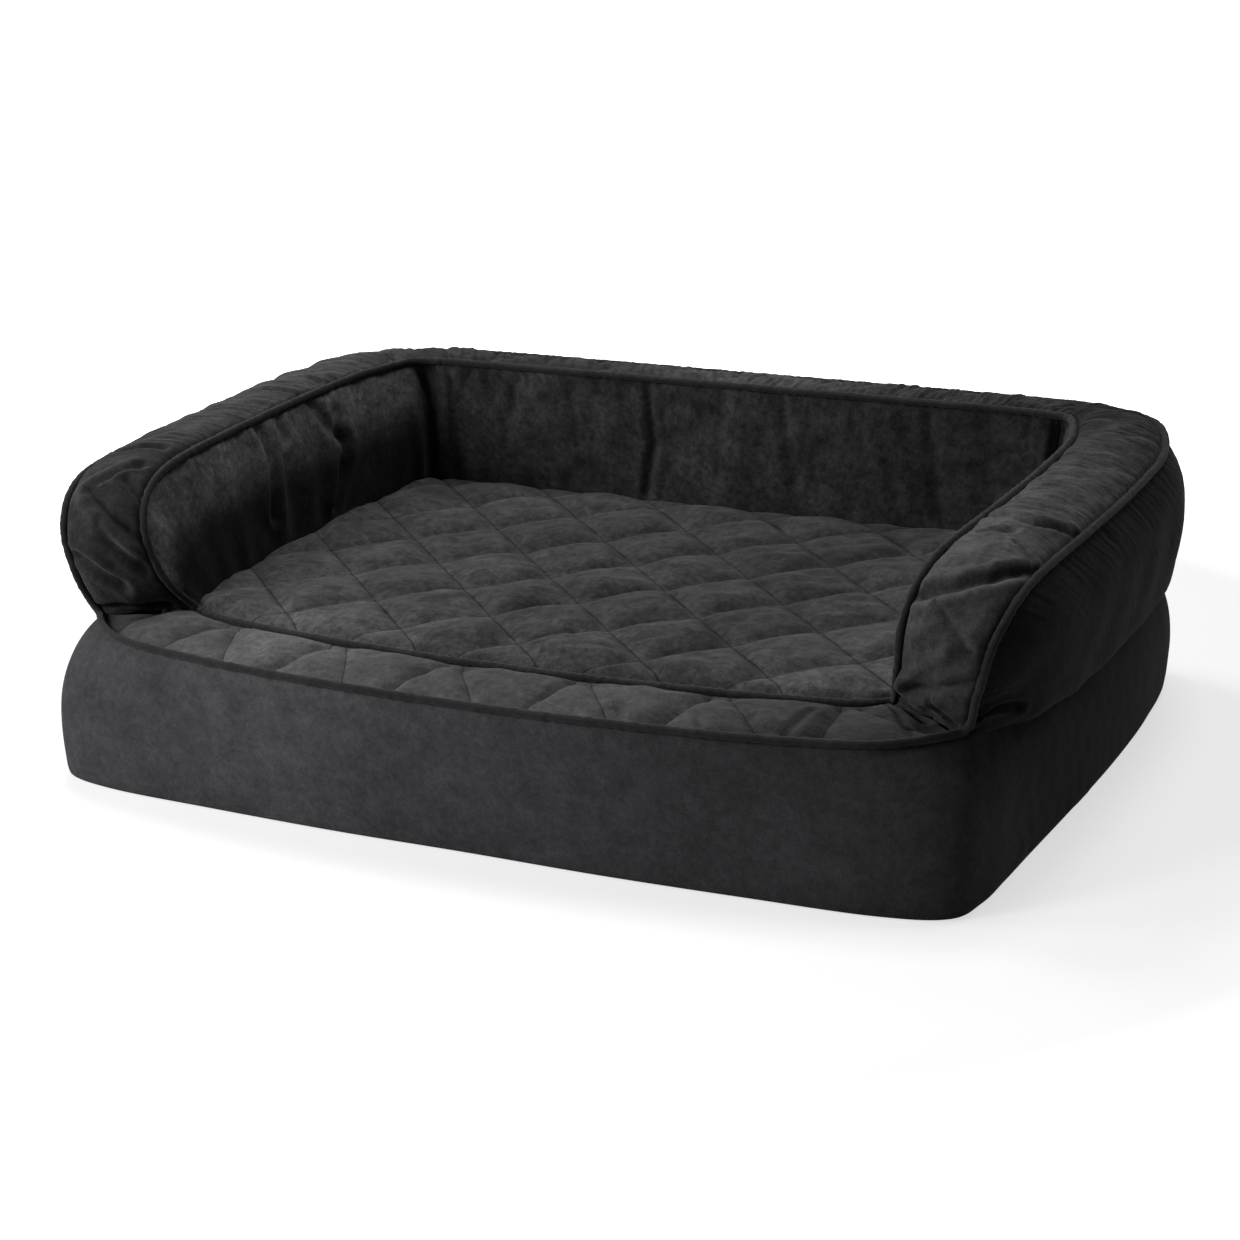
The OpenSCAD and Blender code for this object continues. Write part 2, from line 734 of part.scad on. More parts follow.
// Slider: a plate over the chain with a flange above and below, and two ears with the pin
module zip_slider() {
    flange_y = max(upper_y, lower_y) + run_gap;
    color(zip_black)
        translate([slider_x, 0, zip_z])
            union() {
                translate([-slider_l / 2, plate_y, -slider_w / 2])
                    cube([slider_l, slider_t, slider_w]);
                for (z = [-slider_w / 2, slider_w / 2 - flange_t])
                    translate([-slider_l / 2, flange_y, z])
                        cube([slider_l, plate_y - flange_y + slider_t, flange_t]);
                for (z = [-ear_gap / 2 - flange_t, ear_gap / 2])
                    translate([-knuckle_r, plate_y, z])
                        cube([2 * knuckle_r, pin_y - plate_y, flange_t]);
                for (z = [-ear_gap / 2 - flange_t, ear_gap / 2])
                    translate([0, pin_y, z])
                        cylinder(r = knuckle_r, h = flange_t, $fn = 48);
                translate([0, pin_y, -ear_gap / 2 - flange_t])
                    cylinder(r = pin_r, h = ear_gap + 2 * flange_t, $fn = 48);
            }
}
// Pull tab: a knuckle on the pin, a neck between the ears and a wider tab with a hole
module zip_pull() {
    neck_w = ear_gap - 2 * run_gap;
    tab_start = 2 * knuckle_r;
    color(zip_black)
        translate([slider_x, pin_y, zip_z])
            difference() {
                union() {
                    translate([0, 0, -neck_w / 2])
                        cylinder(r = knuckle_r, h = neck_w, $fn = 48);
                    translate([0, knuckle_r - pull_t, -neck_w / 2])
                        cube([tab_start + pull_w / 2, pull_t, neck_w]);
                    translate([tab_start, knuckle_r - pull_t, -pull_w / 2])
                        cube([pull_l - tab_start - pull_w / 2, pull_t, pull_w]);
                    translate([pull_l - pull_w / 2, knuckle_r, 0])
                        rotate([90, 0, 0])
                            cylinder(d = pull_w, h = pull_t, $fn = 48);
                }
                translate([0, 0, -pull_w])
                    cylinder(r = pin_r + run_gap / 3, h = 2 * pull_w, $fn = 48);
                translate([pull_l - pull_w / 2, pull_w, 0])
                    rotate([90, 0, 0])
                        cylinder(d = pull_w / 2, h = 2 * pull_w, $fn = 48);
            }
}
// Garage: a folded patch over the zip's closed end
garage_h = slot_h + 2 * chain_w;
module zip_garage() {
    garage_y = max(back_face(zip_z + garage_h / 2), stop_y) + fit_gap;
    color(velvet_border)
        translate([-zip_l / 2 - garage_l, garage_y, zip_z - garage_h / 2])
            cube([garage_l - fit_gap, skin_t / 2, garage_h]);
}

support_foam_slab();
memory_foam_slab();
foam_liner();
bottom_panel();
chamber_floor();
left_arm_filling();
back_filling();
right_arm_filling();
sleep_panel();
front_lip();
left_arm_top();
back_top();
right_arm_top();
left_arm_inner();
back_inner();
right_arm_inner();
left_arm_outer();
back_outer();
right_arm_outer();
border_wrap();
back_border();
inner_piping();
outer_piping();
zip_tape_upper();
zip_tape_lower();
zip_chain();
zip_end_stops();
zip_slider();
zip_pull();
zip_garage();
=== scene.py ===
"""Dog sofa bed: the cover, its quilting and piping, the filling, the foam and the zip."""

import math

import bmesh
import bpy
import numpy as np
from mathutils import Matrix, Vector


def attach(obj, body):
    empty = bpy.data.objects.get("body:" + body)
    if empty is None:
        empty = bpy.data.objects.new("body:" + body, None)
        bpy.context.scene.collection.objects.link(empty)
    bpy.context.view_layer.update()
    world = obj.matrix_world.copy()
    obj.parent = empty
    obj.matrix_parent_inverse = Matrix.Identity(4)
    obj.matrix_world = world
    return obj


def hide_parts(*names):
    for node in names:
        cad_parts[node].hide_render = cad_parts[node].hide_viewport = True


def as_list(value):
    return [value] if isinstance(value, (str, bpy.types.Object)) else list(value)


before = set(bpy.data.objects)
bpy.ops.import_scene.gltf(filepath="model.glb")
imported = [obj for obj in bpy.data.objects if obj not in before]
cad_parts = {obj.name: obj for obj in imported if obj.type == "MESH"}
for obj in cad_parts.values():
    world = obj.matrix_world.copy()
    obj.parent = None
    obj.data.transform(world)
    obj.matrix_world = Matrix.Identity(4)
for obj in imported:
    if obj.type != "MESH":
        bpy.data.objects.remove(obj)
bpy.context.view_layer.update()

# The bed's sizes, in metres
HALF_WIDTH = 0.451
HALF_DEPTH = 0.345
BASE_TOP = 0.141
SEAM_DROP = 0.015
HEM_INSET = 0.005
HEM_Z = 0.0015
FRONT_BELLY = 0.004
SIDE_BELLY = 0.008
BACK_BELLY = 0.006
BOLSTER_RISE = 0.123
INNER_RISE = 0.010
ARM_FOOT = 0.082
ARM_TOP = 0.083
BACK_FOOT = 0.084
BACK_TOP = 0.079
LIP_WIDTH = 0.092
ARM_OVERHANG = 0.020
BACK_LEAN = 0.008
NOSE_REACH = 0.075
ARM_CROWN = 0.015
BACK_CROWN = 0.009
LIP_CROWN = 0.008
ARM_BELLY = 0.030
BACK_SWELL = 0.017
PANEL_DROOP = 0.12 * BOLSTER_RISE
WALL_BELLY = 0.007
PIPING_RADIUS = 0.0036
PROUD = 0.0014
CLOTH = 0.0018
WADDING = 0.004
QUILT_HALF = 0.060
QUILT_CENTRE = (-0.008, 0.031)
QUILT_PUFF = 0.0100
QUILT_SHOULDER = 0.0108
PAD_RISE = 0.010
STRIP_SPACING = 0.1256
WALL_HEIGHT = 0.13
PANEL_HEIGHT = 0.16
BORDER_HEIGHT = 0.14
STRIP_WIDTH = 0.088
PAD_WIDTH = 0.70
PAD_DEPTH = 0.46
INSERT_GAP = 0.0095
INSERT_ROUND = 0.08
CORNER_ROUND = 0.02
INSERT_START = 0.75
CORNER_SLIP = 0.004
FILLING_LIFT = 0.0015

# The zip across the back, in metres
SLOT_HALF = 0.276
SLOT_LOW = 0.030
SLOT_HIGH = 0.050
CHAIN_HALF = 0.270
CHAIN_Y = 0.3322
CHAIN_Z = 0.040
CHAIN_REACH = 0.0030
HOOK_PITCH = 0.0016
HOOK_PASS = 0.0005
HOOK_WIDE = 0.00062
HOOK_DEEP = 0.0022
TAPE = 0.0008
UPPER_TAPE = (0.3326, 0.0420, 0.0564)
LOWER_TAPE = (0.3311, 0.0236, 0.0380)
TAPE_FOLD = 0.0005
TAPE_FOLD_HALF = 0.0012
TAPE_WAVE = 0.0001
TAPE_WAVES_PER_M = 60
GARAGE_LOW = (-0.298, 0.024)
GARAGE_HIGH = (-0.2704, 0.056)
GARAGE_Y = 0.33735
GARAGE_CLOTH = 0.0011
GARAGE_DRAWN = 0.0006
GARAGE_DRAWN_REACH = 0.0015
PATCH_HEM = 0.0018
PATCH_END = 0.0011
PATCH_STITCH_Y = 0.3372
ZIP_BESIDE = 0.024
ZIP_ABOVE = 0.019
ZIP_FADE = 0.03
STITCH_PITCH = 0.0036
STITCH_LENGTH = 0.0026
STITCH_THICK = 0.0005
HEM_STITCH = 0.004

# The flat cuts of the sewn panels: width and length in metres, and area in square metres
ARM_WALL_CUT = (0.146, 0.628, 0.065)
BACK_WALL_CUT = (0.135, 0.688, 0.091)
ARM_PANEL_CUT = (0.171, 0.696, 0.097)
BACK_PANEL_CUT = (0.153, 0.821, 0.121)
FRONT_BORDER_CUT = (0.156, 2.160, 0.295)
BACK_BORDER_CUT = (0.136, 0.868, 0.107)
BOTTOM_CUT = (0.662, 0.909, 0.590)
FLOOR_CUT = (0.561, 0.897, 0.190)
LINER_CUT = (0.884, 1.760, 1.500)

# The loop of places round half of the bed, from the middle of the lip to the middle of the
# back. A row has the base seam's place as shares of the half width and half depth, the
# direction across the strip in degrees, shares of the bolster's rise, of the nose's reach, of
# the lip and of the back, the place of the base's side, and the strip's share of its width.
LOOP_SHARES = [
    (0, -1, 90, 0, 0, 1, 0, 0, -0.988, 1),
    (0.29, -0.988, 92, 0, 0, 1, 0, 0.29, -0.991, 1),
    (0.577, -0.953, 97, 0, 0, 1, 0, 0.579, -0.98, 1),
    (0.81, -0.885, 118, 0, 0, 1, 0, 0.831, -0.962, 1),
    (0.933, -0.742, 148, 0, 0, 1, 0, 0.967, -0.907, 0.96),
    (0.962, -0.643, 162, 0.3, 0.55, 0.5, 0, 1, -0.788, 0.9),
    (0.975, -0.539, 172, 0.7, 0.95, 0.2, 0, 1.007, -0.638, 0.94),
    (0.986, -0.406, 176, 0.96, 0.85, 0.05, 0, 1.011, -0.464, 0.99),
    (0.998, -0.116, 180, 1, 0.3, 0, 0, 1.02, -0.116, 1),
    (1, 0.2, 181, 1, 0, 0, 0, 1.024, 0.217, 1),
    (0.985, 0.52, 186, 1, 0, 0, 0.05, 1.016, 0.542, 1),
    (0.93, 0.8, 216, 1, 0, 0, 0.45, 0.987, 0.817, 1),
    (0.8, 0.93, 246, 1, 0, 0, 0.85, 0.885, 0.954, 1),
    (0.66, 0.965, 266, 1, 0, 0, 1, 0.66, 0.968, 1),
    (0.33, 0.968, 270, 1, 0, 0, 1, 0.33, 0.968, 1),
    (0, 0.968, 270, 1, 0, 0, 1, 0, 0.968, 1),
]
LAST = len(LOOP_SHARES) - 1
NOSE_FOOT = 4.0
CORNER = 11.5

# Profiles across a panel, as shares of its belly, droop, crown or height
BELLY_SHARES = (0, 0.62, 0.92, 1, 0.98, 0.8, 0)
DROOP_SHARES = (0, 0, 0, 0.05, 0.35, 0.9, 0)
BORDER_SHARES = (0, 0.95, 1.1, 0.9, 0.5, 0)
BORDER_HEIGHT_SHARES = (1, 0.88, 0.6, 0.3, 0.08, 0)
WALL_SHARES = (0, 0.7, 1, 0.8, 0)
FOOT_TUCK_POWER = 4
ARCH_POWERS = (2.4, 0.8)
FOOT_CROWN_SHARE = 0.15
FOOT_CROWN_SLOPE = 1.2


def mirrored(row):
    """A row of the loop, for the other side of the bed."""
    turned = (180 if row[2] < 180 else 540) - row[2]
    return (-row[0], row[1], turned, *row[3:7], -row[7], *row[8:])


LOOP = np.array(
    [mirrored(LOOP_SHARES[1])]
    + LOOP_SHARES
    + [mirrored(LOOP_SHARES[LAST - 1]), mirrored(LOOP_SHARES[LAST - 2])],
    float,
)


def smooth_curve(a, b, c, d, s):
    """A smooth curve through four values, from the second to the third."""
    bend = 2 * a - 5 * b + 4 * c - d
    turn = 3 * b - a - 3 * c + d
    return 0.5 * (2 * b + (c - a) * s + bend * s**2 + turn * s**3)


def profile(shares, v):
    """A smooth profile through evenly spaced shares, read at v from 0 to 1."""
    ends = np.array([2 * shares[0] - shares[1], *shares, 2 * shares[-1] - shares[-2]], float)
    x = np.clip(v, 0, 1) * (len(shares) - 1)
    i = np.minimum(x.astype(int), len(shares) - 2)
    return smooth_curve(ends[i], ends[i + 1], ends[i + 2], ends[i + 3], x - i)


class Station:
    """The loop's values at places t, which are above 0 on the right half."""

    def __init__(self, t):
        a = np.abs(t)
        i = np.minimum(a.astype(int), LAST - 1)
        s = (a - i)[:, None]
        row = smooth_curve(LOOP[i], LOOP[i + 1], LOOP[i + 2], LOOP[i + 3], s).T
        self.side = np.where(t < 0, -1.0, 1.0)
        self.place = a
        self.x, self.y, angle = row[0], row[1], np.radians(row[2])
        self.rise = np.clip(row[3], 0, 1)
        self.nose = np.maximum(row[4], 0)
        self.lip = np.clip(row[5], 0, 1)
        self.back = np.clip(row[6], 0, 1)
        self.side_x, self.side_y, self.width = row[7], row[8], row[9]
        self.across = np.stack([self.side * np.cos(angle), np.sin(angle), 0 * angle], 1)

    def blend(self, lip, arm, back):
        return self.lip * lip + self.back * back + (1 - self.lip - self.back) * arm

    def point(self, x, y, z):
        return np.stack([self.side * x, y, z + 0 * x], 1)

    def over(self, amount):
        return self.across * amount[:, None]

    def base(self):
        z = BASE_TOP - SEAM_DROP * (1 - self.lip)
        return self.point(self.x * HALF_WIDTH, self.y * HALF_DEPTH, z)

    def outer(self):
        y = self.y * HALF_DEPTH - self.nose * NOSE_REACH
        seam = self.point(self.x * HALF_WIDTH, y, BASE_TOP + self.rise * BOLSTER_RISE)
        return seam - self.over(self.blend(0, ARM_OVERHANG, -BACK_LEAN) * self.rise)

    def inner(self):
        seam = self.outer() + self.over(self.blend(LIP_WIDTH, ARM_TOP, BACK_TOP) * self.width)
        seam[:, 2] += INNER_RISE * self.rise
        return seam

    def foot(self):
        seam = self.base() + self.over(self.blend(LIP_WIDTH, ARM_FOOT, BACK_FOOT))
        seam[:, 2] = BASE_TOP
        return seam

    def hem(self):
        side = self.point(self.side_x * HALF_WIDTH, self.side_y * HALF_DEPTH, HEM_Z)
        return side + self.over(HEM_INSET + 0 * self.x)


def mix(a, b, v):
    return a + (b - a) * v[:, None]


# Places along the loop by length: way is 0 at the lip's middle and negative round the left
FINE = np.linspace(0, LAST, 100 * LAST + 1)
FINE_SEAM = (Station(FINE).outer() + Station(FINE).inner()) / 2
FINE_WAY = np.concatenate([[0], np.cumsum(np.linalg.norm(np.diff(FINE_SEAM, axis=0), axis=1))])
HALF_LOOP = FINE_WAY[-1]


def way_of(t):
    return float(np.interp(t, FINE, FINE_WAY))


def place_of(way):
    """The place t for each way, which runs once round the loop from the right nose's foot."""
    way = np.where(way < -HALF_LOOP, way + 2 * HALF_LOOP, way)
    return np.sign(way) * np.interp(np.abs(way), FINE_WAY, FINE)


FOOT_WAY = way_of(NOSE_FOOT)
CORNER_WAY = way_of(CORNER)
LEFT_CORNER = -CORNER_WAY
RIGHT_CORNER = CORNER_WAY - 2 * HALF_LOOP
RIGHT_FOOT = FOOT_WAY - 2 * HALF_LOOP
NEAR_WAY = 0.001


# The cover's surfaces. Each gives its points for ways along the loop and v across the panel.
def run_along(way, seam):
    ahead = getattr(Station(place_of(way + NEAR_WAY)), seam)()
    behind = getattr(Station(place_of(way - NEAR_WAY)), seam)()
    run = ahead - behind
    return run / np.linalg.norm(run, axis=1)[:, None]


def strip(way, v):
    s = Station(place_of(way))
    a, b = s.inner(), s.outer()
    up = np.cross(run_along(way, "inner") + run_along(way, "outer"), b - a)
    up /= np.linalg.norm(up, axis=1)[:, None]
    from_foot = np.abs(s.place - NOSE_FOOT)
    at_foot = np.minimum(1, FOOT_CROWN_SHARE + FOOT_CROWN_SLOPE * from_foot)
    crown = s.blend(LIP_CROWN, ARM_CROWN, BACK_CROWN) * at_foot
    arch = (1 - np.minimum(np.abs(2 * v - 1), 1) ** ARCH_POWERS[0]) ** ARCH_POWERS[1]
    return mix(a, b, v) - up * (crown * arch)[:, None]


def wall(way, v):
    s = Station(place_of(way))
    return mix(s.inner(), s.foot(), v) + s.over(WALL_BELLY * s.rise * profile(WALL_SHARES, v))


def panel(way, v):
    s = Station(place_of(way))
    belly = s.blend(0, ARM_BELLY, BACK_SWELL) * s.rise * profile(BELLY_SHARES, v)
    points = mix(s.outer(), s.base(), v) - s.over(belly)
    points[:, 2] -= PANEL_DROOP * s.rise * profile(DROOP_SHARES, v)
    return points


def border(way, v):
    s = Station(place_of(way))
    top, low = s.base(), s.hem()
    k = profile(BORDER_HEIGHT_SHARES, v)
    points = mix(low, top, k**FOOT_TUCK_POWER)
    points[:, 2] = low[:, 2] + (top[:, 2] - low[:, 2]) * k
    belly = s.blend(FRONT_BELLY, SIDE_BELLY, BACK_BELLY) * profile(BORDER_SHARES, v)
    return points - s.over(belly)


def sleeping(a, b):
    """The sleeping panel's points, for a from left to right and b from front to back."""
    lip_t = NOSE_FOOT * (2 * a - 1)
    along_back = (LAST - CORNER) * (1 - np.abs(2 * a - 1))
    back_t = np.where(a < 0.5, -CORNER - along_back, CORNER + along_back)
    side_t = NOSE_FOOT + b * (CORNER - NOSE_FOOT)
    front, back = Station(lip_t).inner(), Station(back_t).foot()
    left, right = Station(-side_t).foot(), Station(side_t).foot()
    near_left, near_right = Station(np.array([-NOSE_FOOT, NOSE_FOOT])).inner()
    far_left, far_right = Station(np.array([-CORNER, CORNER])).foot()
    near, far = mix(near_left[None], near_right[None], a), mix(far_left[None], far_right[None], a)
    flat = mix(front, back, b) + mix(left, right, a) - mix(near, far, b)
    flat[:, 2] = BASE_TOP
    return flat


def ripple(points, size, seed, waves=12):
    """Smooth noise of about unit strength, from waves in many directions."""
    rng = np.random.default_rng(seed)
    directions = rng.normal(size=(waves, points.shape[1]))
    directions /= np.linalg.norm(directions, axis=1)[:, None]
    directions *= (2 * math.pi / size) * rng.uniform(0.6, 1.6, (waves, 1))
    phases = rng.uniform(0, 2 * math.pi, waves)
    return np.sin(points @ directions.T + phases).sum(1) / math.sqrt(waves / 2)


def ramp(x, low, high):
    s = np.clip((x - low) / (high - low), 0, 1)
    return s * s * (3 - 2 * s)


class Filled:
    """A surface after its cloth has filled out: a grid of points, read smoothly between them."""

    def __init__(self, form, points, low, high):
        self.form = form
        self.low = low
        self.high = high
        self.rows, self.columns = points.shape[:2]
        self.points = np.pad(points, ((1, 1), (1, 1), (0, 0)), "reflect", reflect_type="odd")

    def __call__(self, a, b):
        x = (a - self.low) / (self.high - self.low) * (self.columns - 1)
        y = b * (self.rows - 1)
        i = np.clip(x.astype(int), 0, self.columns - 2)
        j = np.clip(y.astype(int), 0, self.rows - 2)
        s, t = (x - i)[:, None], (y - j)[:, None]
        lines = [smooth_curve(*(self.points[j + n, i + m] for m in range(4)), s) for n in range(4)]
        return smooth_curve(*lines, t)


def form_of(surface):
    return surface.form if isinstance(surface, Filled) else surface


def facing(surface):
    return FACING[form_of(surface)]


# How far off, in metres or as a share, a surface's normal is taken from
CLOSE_BY = 0.0008


def outward(surface, a, b):
    """The surface's normals, from points close by."""
    along = surface(a + CLOSE_BY, b) - surface(a - CLOSE_BY, b)
    across = surface(a, b + CLOSE_BY) - surface(a, b - CLOSE_BY)
    n = np.cross(along, across) * facing(surface)
    return n / np.maximum(np.linalg.norm(n, axis=1), 1e-12)[:, None]


def link(name, mesh):
    obj = bpy.data.objects.new(name, mesh)
    bpy.context.scene.collection.objects.link(obj)
    return obj


def mesh_points(mesh):
    co = np.empty(len(mesh.vertices) * 3)
    mesh.vertices.foreach_get("co", co)
    return co.reshape(-1, 3)


def finished_mesh(name, bm, smooth=True):
    mesh = bpy.data.meshes.new(name)
    bm.to_mesh(mesh)
    bm.free()
    if smooth:
        mesh.shade_smooth()
    return link(name, mesh)


def new_grid(columns, rows):
    """A flat grid, and each point's place on it as shares of its two sides."""
    bm = bmesh.new()
    bmesh.ops.create_grid(bm, x_segments=columns, y_segments=rows, size=0.5)
    return bm, np.array([v.co[:2] for v in bm.verts]) + 0.5


def move_to(bm, points):
    for v, p in zip(bm.verts, points):
        v.co = p


# How the cover's cloth is blown up: its settings, among them how hard the filling presses and
# how much larger the cloth is cut, then how far it may move in metres, and the frames it takes
CLOTH_SETTINGS = {
    "quality": 6,
    "mass": 0.15,
    "tension_stiffness": 25,
    "compression_stiffness": 25,
    "shear_stiffness": 8,
    "bending_stiffness": 1.5,
    "pin_stiffness": 8,
    "vertex_group_mass": "sewn",
    "use_pressure": True,
    "uniform_pressure_force": 4.0,
    "shrink_min": -0.03,
}
MOST_FILL = 0.016
FILL_FRAMES = 20


def fill_out(points, held):
    """The grid of points once the cloth, cut a little large, is blown up from its sewn lines."""
    rows, columns = held.shape
    bm, grid = new_grid(columns - 1, rows - 1)
    column = (grid[:, 0] * (columns - 1)).round().astype(int)
    row = (grid[:, 1] * (rows - 1)).round().astype(int)
    move_to(bm, points[row, column])
    obj = finished_mesh("cloth", bm, smooth=False)
    group = obj.vertex_groups.new(name="sewn")
    for i, weight in enumerate(held[row, column]):
        if weight > 0:
            group.add([i], float(weight), "REPLACE")
    cloth = obj.modifiers.new("cloth", "CLOTH")
    for key, value in CLOTH_SETTINGS.items():
        setattr(cloth.settings, key, value)
    cloth.settings.effector_weights.gravity = 0
    cloth.point_cache.frame_start = 1
    cloth.point_cache.frame_end = FILL_FRAMES
    for frame_number in range(1, FILL_FRAMES + 1):
        bpy.context.scene.frame_set(frame_number)
    seen = obj.evaluated_get(bpy.context.evaluated_depsgraph_get())
    filled = points.copy()
    filled[row, column] = mesh_points(seen.data)
    bpy.data.objects.remove(obj)
    bpy.context.scene.frame_set(1)
    moved = filled - points
    far = np.linalg.norm(moved, axis=2)[..., None]
    return points + moved * np.minimum(1, MOST_FILL / np.maximum(far, 1e-9))


# Relief: how far each surface stands out of its form, in metres
def groove(distance, width):
    return np.exp(-((distance / width) ** 2))


def swell(distance, width):
    """0 on a seam, rising steeply beside it and then levelling off."""
    return 1 - np.exp(-distance / width)


def near_seams(lines, spacing):
    """How far each point is from the nearest of evenly spaced lines, counted in lines."""
    return np.abs(lines - np.round(lines)) * spacing


# Wrinkles beside a seam: how far apart, how long, and where they start
PULL_SIZE = 0.011
PULL_LENGTH = 0.05
PULL_START = 0.002


def creases(form, along, across, seed, waves):
    """Noise drawn out into creases. Their form is a height, and a size along and across."""
    height, size, length = form
    return height * ripple(np.stack([along / size, across / length], 1), 1.0, seed, waves)


def drawn_in(height, along, distance, reach, seed):
    """The small wrinkles that a row of stitches draws in, square to it."""
    waves = creases((height, PULL_SIZE, PULL_LENGTH), along, distance, seed, 24)
    return waves * np.exp(-distance / reach) * swell(distance, PULL_START)


# The sleeping panel's relief, in metres. Creases have a height, a size along and one across.
QUILT_SPACING = QUILT_HALF * math.sqrt(2)
QUILT_WANDER = 0.0010
QUILT_WANDER_SIZE = 0.25
PUFF_UNEVEN_SHARE = 0.12
PUFF_UNEVEN_SIZE = 0.09
EDGE_PUFF_SHARE = 0.10
EDGE_PUFF_REACH = 0.085
PAD_PULL = 0.00022
PAD_PULL_REACH = 0.009
PAD_DRAG = (0.00045, 0.040, 0.024)
PAD_SOFT = 0.00013
PAD_SOFT_SIZE = 0.011
PAD_HEM_DIP = 0.0015
PAD_HEM_HALF = 0.004
PAD_SIDE_FADE = (-0.002, 0.012)
PAD_FRONT_FADE = (-0.002, 0.008)
SIDE_RISE = (-0.03, 0.05)
FRONT_RISE = (-0.03, 0.04)
SUNK_SHARE = 0.2


def pad_lines(a, b):
    """The sleeping panel's two families of quilting lines, counted from its middle."""
    points = sleeping(a, b)
    wander = QUILT_WANDER * ripple(points, QUILT_WANDER_SIZE, 11)
    dx = points[:, 0] + wander - QUILT_CENTRE[0]
    dy = points[:, 1] - wander - QUILT_CENTRE[1]
    return (dx + dy) / (2 * QUILT_HALF), (dx - dy) / (2 * QUILT_HALF)


def pad_edge(a, b):
    """How far in from the sleeping panel's edges, in metres: from the nearest one but the
    front, and from the front."""
    return np.minimum(np.minimum(a, 1 - a) * PAD_WIDTH, (1 - b) * PAD_DEPTH), b * PAD_DEPTH


def lifted_sleeping(a, b):
    """The sleeping panel, raised over its sewn edges."""
    points = sleeping(a, b)
    side, front = pad_edge(a, b)
    lift = ramp(side, *SIDE_RISE) * ramp(front, *FRONT_RISE)
    points[:, 2] += PAD_RISE * lift - PAD_RISE * SUNK_SHARE
    return points


def sleeping_relief(a, b):
    points = sleeping(a, b)
    p, q = pad_lines(a, b)
    first, second = near_seams(p, QUILT_SPACING), near_seams(q, QUILT_SPACING)
    side, front = pad_edge(a, b)
    edge = np.minimum(side, front)
    inside = ramp(side, *PAD_SIDE_FADE) * ramp(front, *PAD_FRONT_FADE)
    cushion = swell(first, QUILT_SHOULDER) * swell(second, QUILT_SHOULDER)
    uneven = 1 + PUFF_UNEVEN_SHARE * ripple(points, PUFF_UNEVEN_SIZE, 13)
    full = EDGE_PUFF_SHARE + (1 - EDGE_PUFF_SHARE) * ramp(edge, 0, EDGE_PUFF_REACH)
    puff = QUILT_PUFF * cushion * uneven * full
    pull = drawn_in(PAD_PULL, q * QUILT_SPACING, first, PAD_PULL_REACH, 14)
    pull += drawn_in(PAD_PULL, p * QUILT_SPACING, second, PAD_PULL_REACH, 15)
    drag = creases(PAD_DRAG, points[:, 0], points[:, 1], 16, 20)
    soft = PAD_SOFT * ripple(points * (1, 1, 0), PAD_SOFT_SIZE, 17, 16)
    relief = (puff + pull + (drag + soft) * cushion) * inside
    return relief - PAD_HEM_DIP * groove(edge, PAD_HEM_HALF)


# Folds seen in the photograph: depth and half width in metres, then a line of places, each a
# way along the loop and a share across the surface. A ridge has a negative depth.
STRIP_FOLDS = [
    (0.0078, 0.0050, [(-2.340, 0.10), (-2.330, 0.45), (-2.315, 0.70), (-2.280, 1.0)]),
    (0.0058, 0.0050, [(-2.200, 0.05), (-2.212, 0.60), (-2.185, 1.0)]),
    (0.0028, 0.0028, [(-2.345, 0.33), (-2.360, 0.62), (-2.370, 0.85)]),
    (0.0028, 0.0028, [(-2.258, 0.65), (-2.278, 0.98)]),
    (-0.0040, 0.006, [(-2.425, 0.02), (-2.390, 0.38), (-2.375, 0.62)]),
    (0.0065, 0.006, [(-2.420, 0.20), (-2.405, 0.68), (-2.395, 1.0)]),
    (0.0042, 0.004, [(-2.252, 0.25), (-2.238, 0.50)]),
    (0.0030, 0.003, [(-2.440, 0.05), (-2.456, 0.55)]),
    (0.0030, 0.003, [(-2.420, 0.53), (-2.437, 0.68), (-2.455, 0.88)]),
    (0.0030, 0.003, [(0.392, 0.00), (0.391, 0.62)]),
    (0.0025, 0.003, [(0.380, 0.10), (0.372, 0.90)]),
    (0.0012, 0.004, [(0.069, 0.25), (0.072, 0.95)]),
    (0.0015, 0.004, [(0.140, 0.65), (0.155, 0.95)]),
    (0.0015, 0.004, [(0.202, 0.45), (0.219, 0.88)]),
    (0.0015, 0.004, [(0.254, 0.58), (0.265, 0.93)]),
    (0.0025, 0.004, [(0.286, 0.95), (0.292, 0.62), (0.300, 0.35)]),
    (0.0062, 0.005, [(-0.526, 0.65), (-0.505, 0.33), (-0.488, 0.00)]),
    (-0.0040, 0.006, [(-0.512, 0.70), (-0.492, 0.38), (-0.475, 0.05)]),
    (0.0040, 0.0045, [(-0.495, 0.45), (-0.480, 0.30), (-0.456, 0.08)]),
    (0.0062, 0.005, [(-0.471, 0.90), (-0.461, 0.68), (-0.443, 0.45)]),
    (0.0050, 0.004, [(-0.538, 0.25), (-0.520, 0.00)]),
    (0.0040, 0.004, [(-0.408, 1.00), (-0.417, 0.58), (-0.411, 0.20)]),
    (0.0040, 0.004, [(-0.533, 0.55), (-0.559, 0.20)]),
    (0.0040, 0.004, [(-0.580, 0.80), (-0.600, 0.20)]),
]
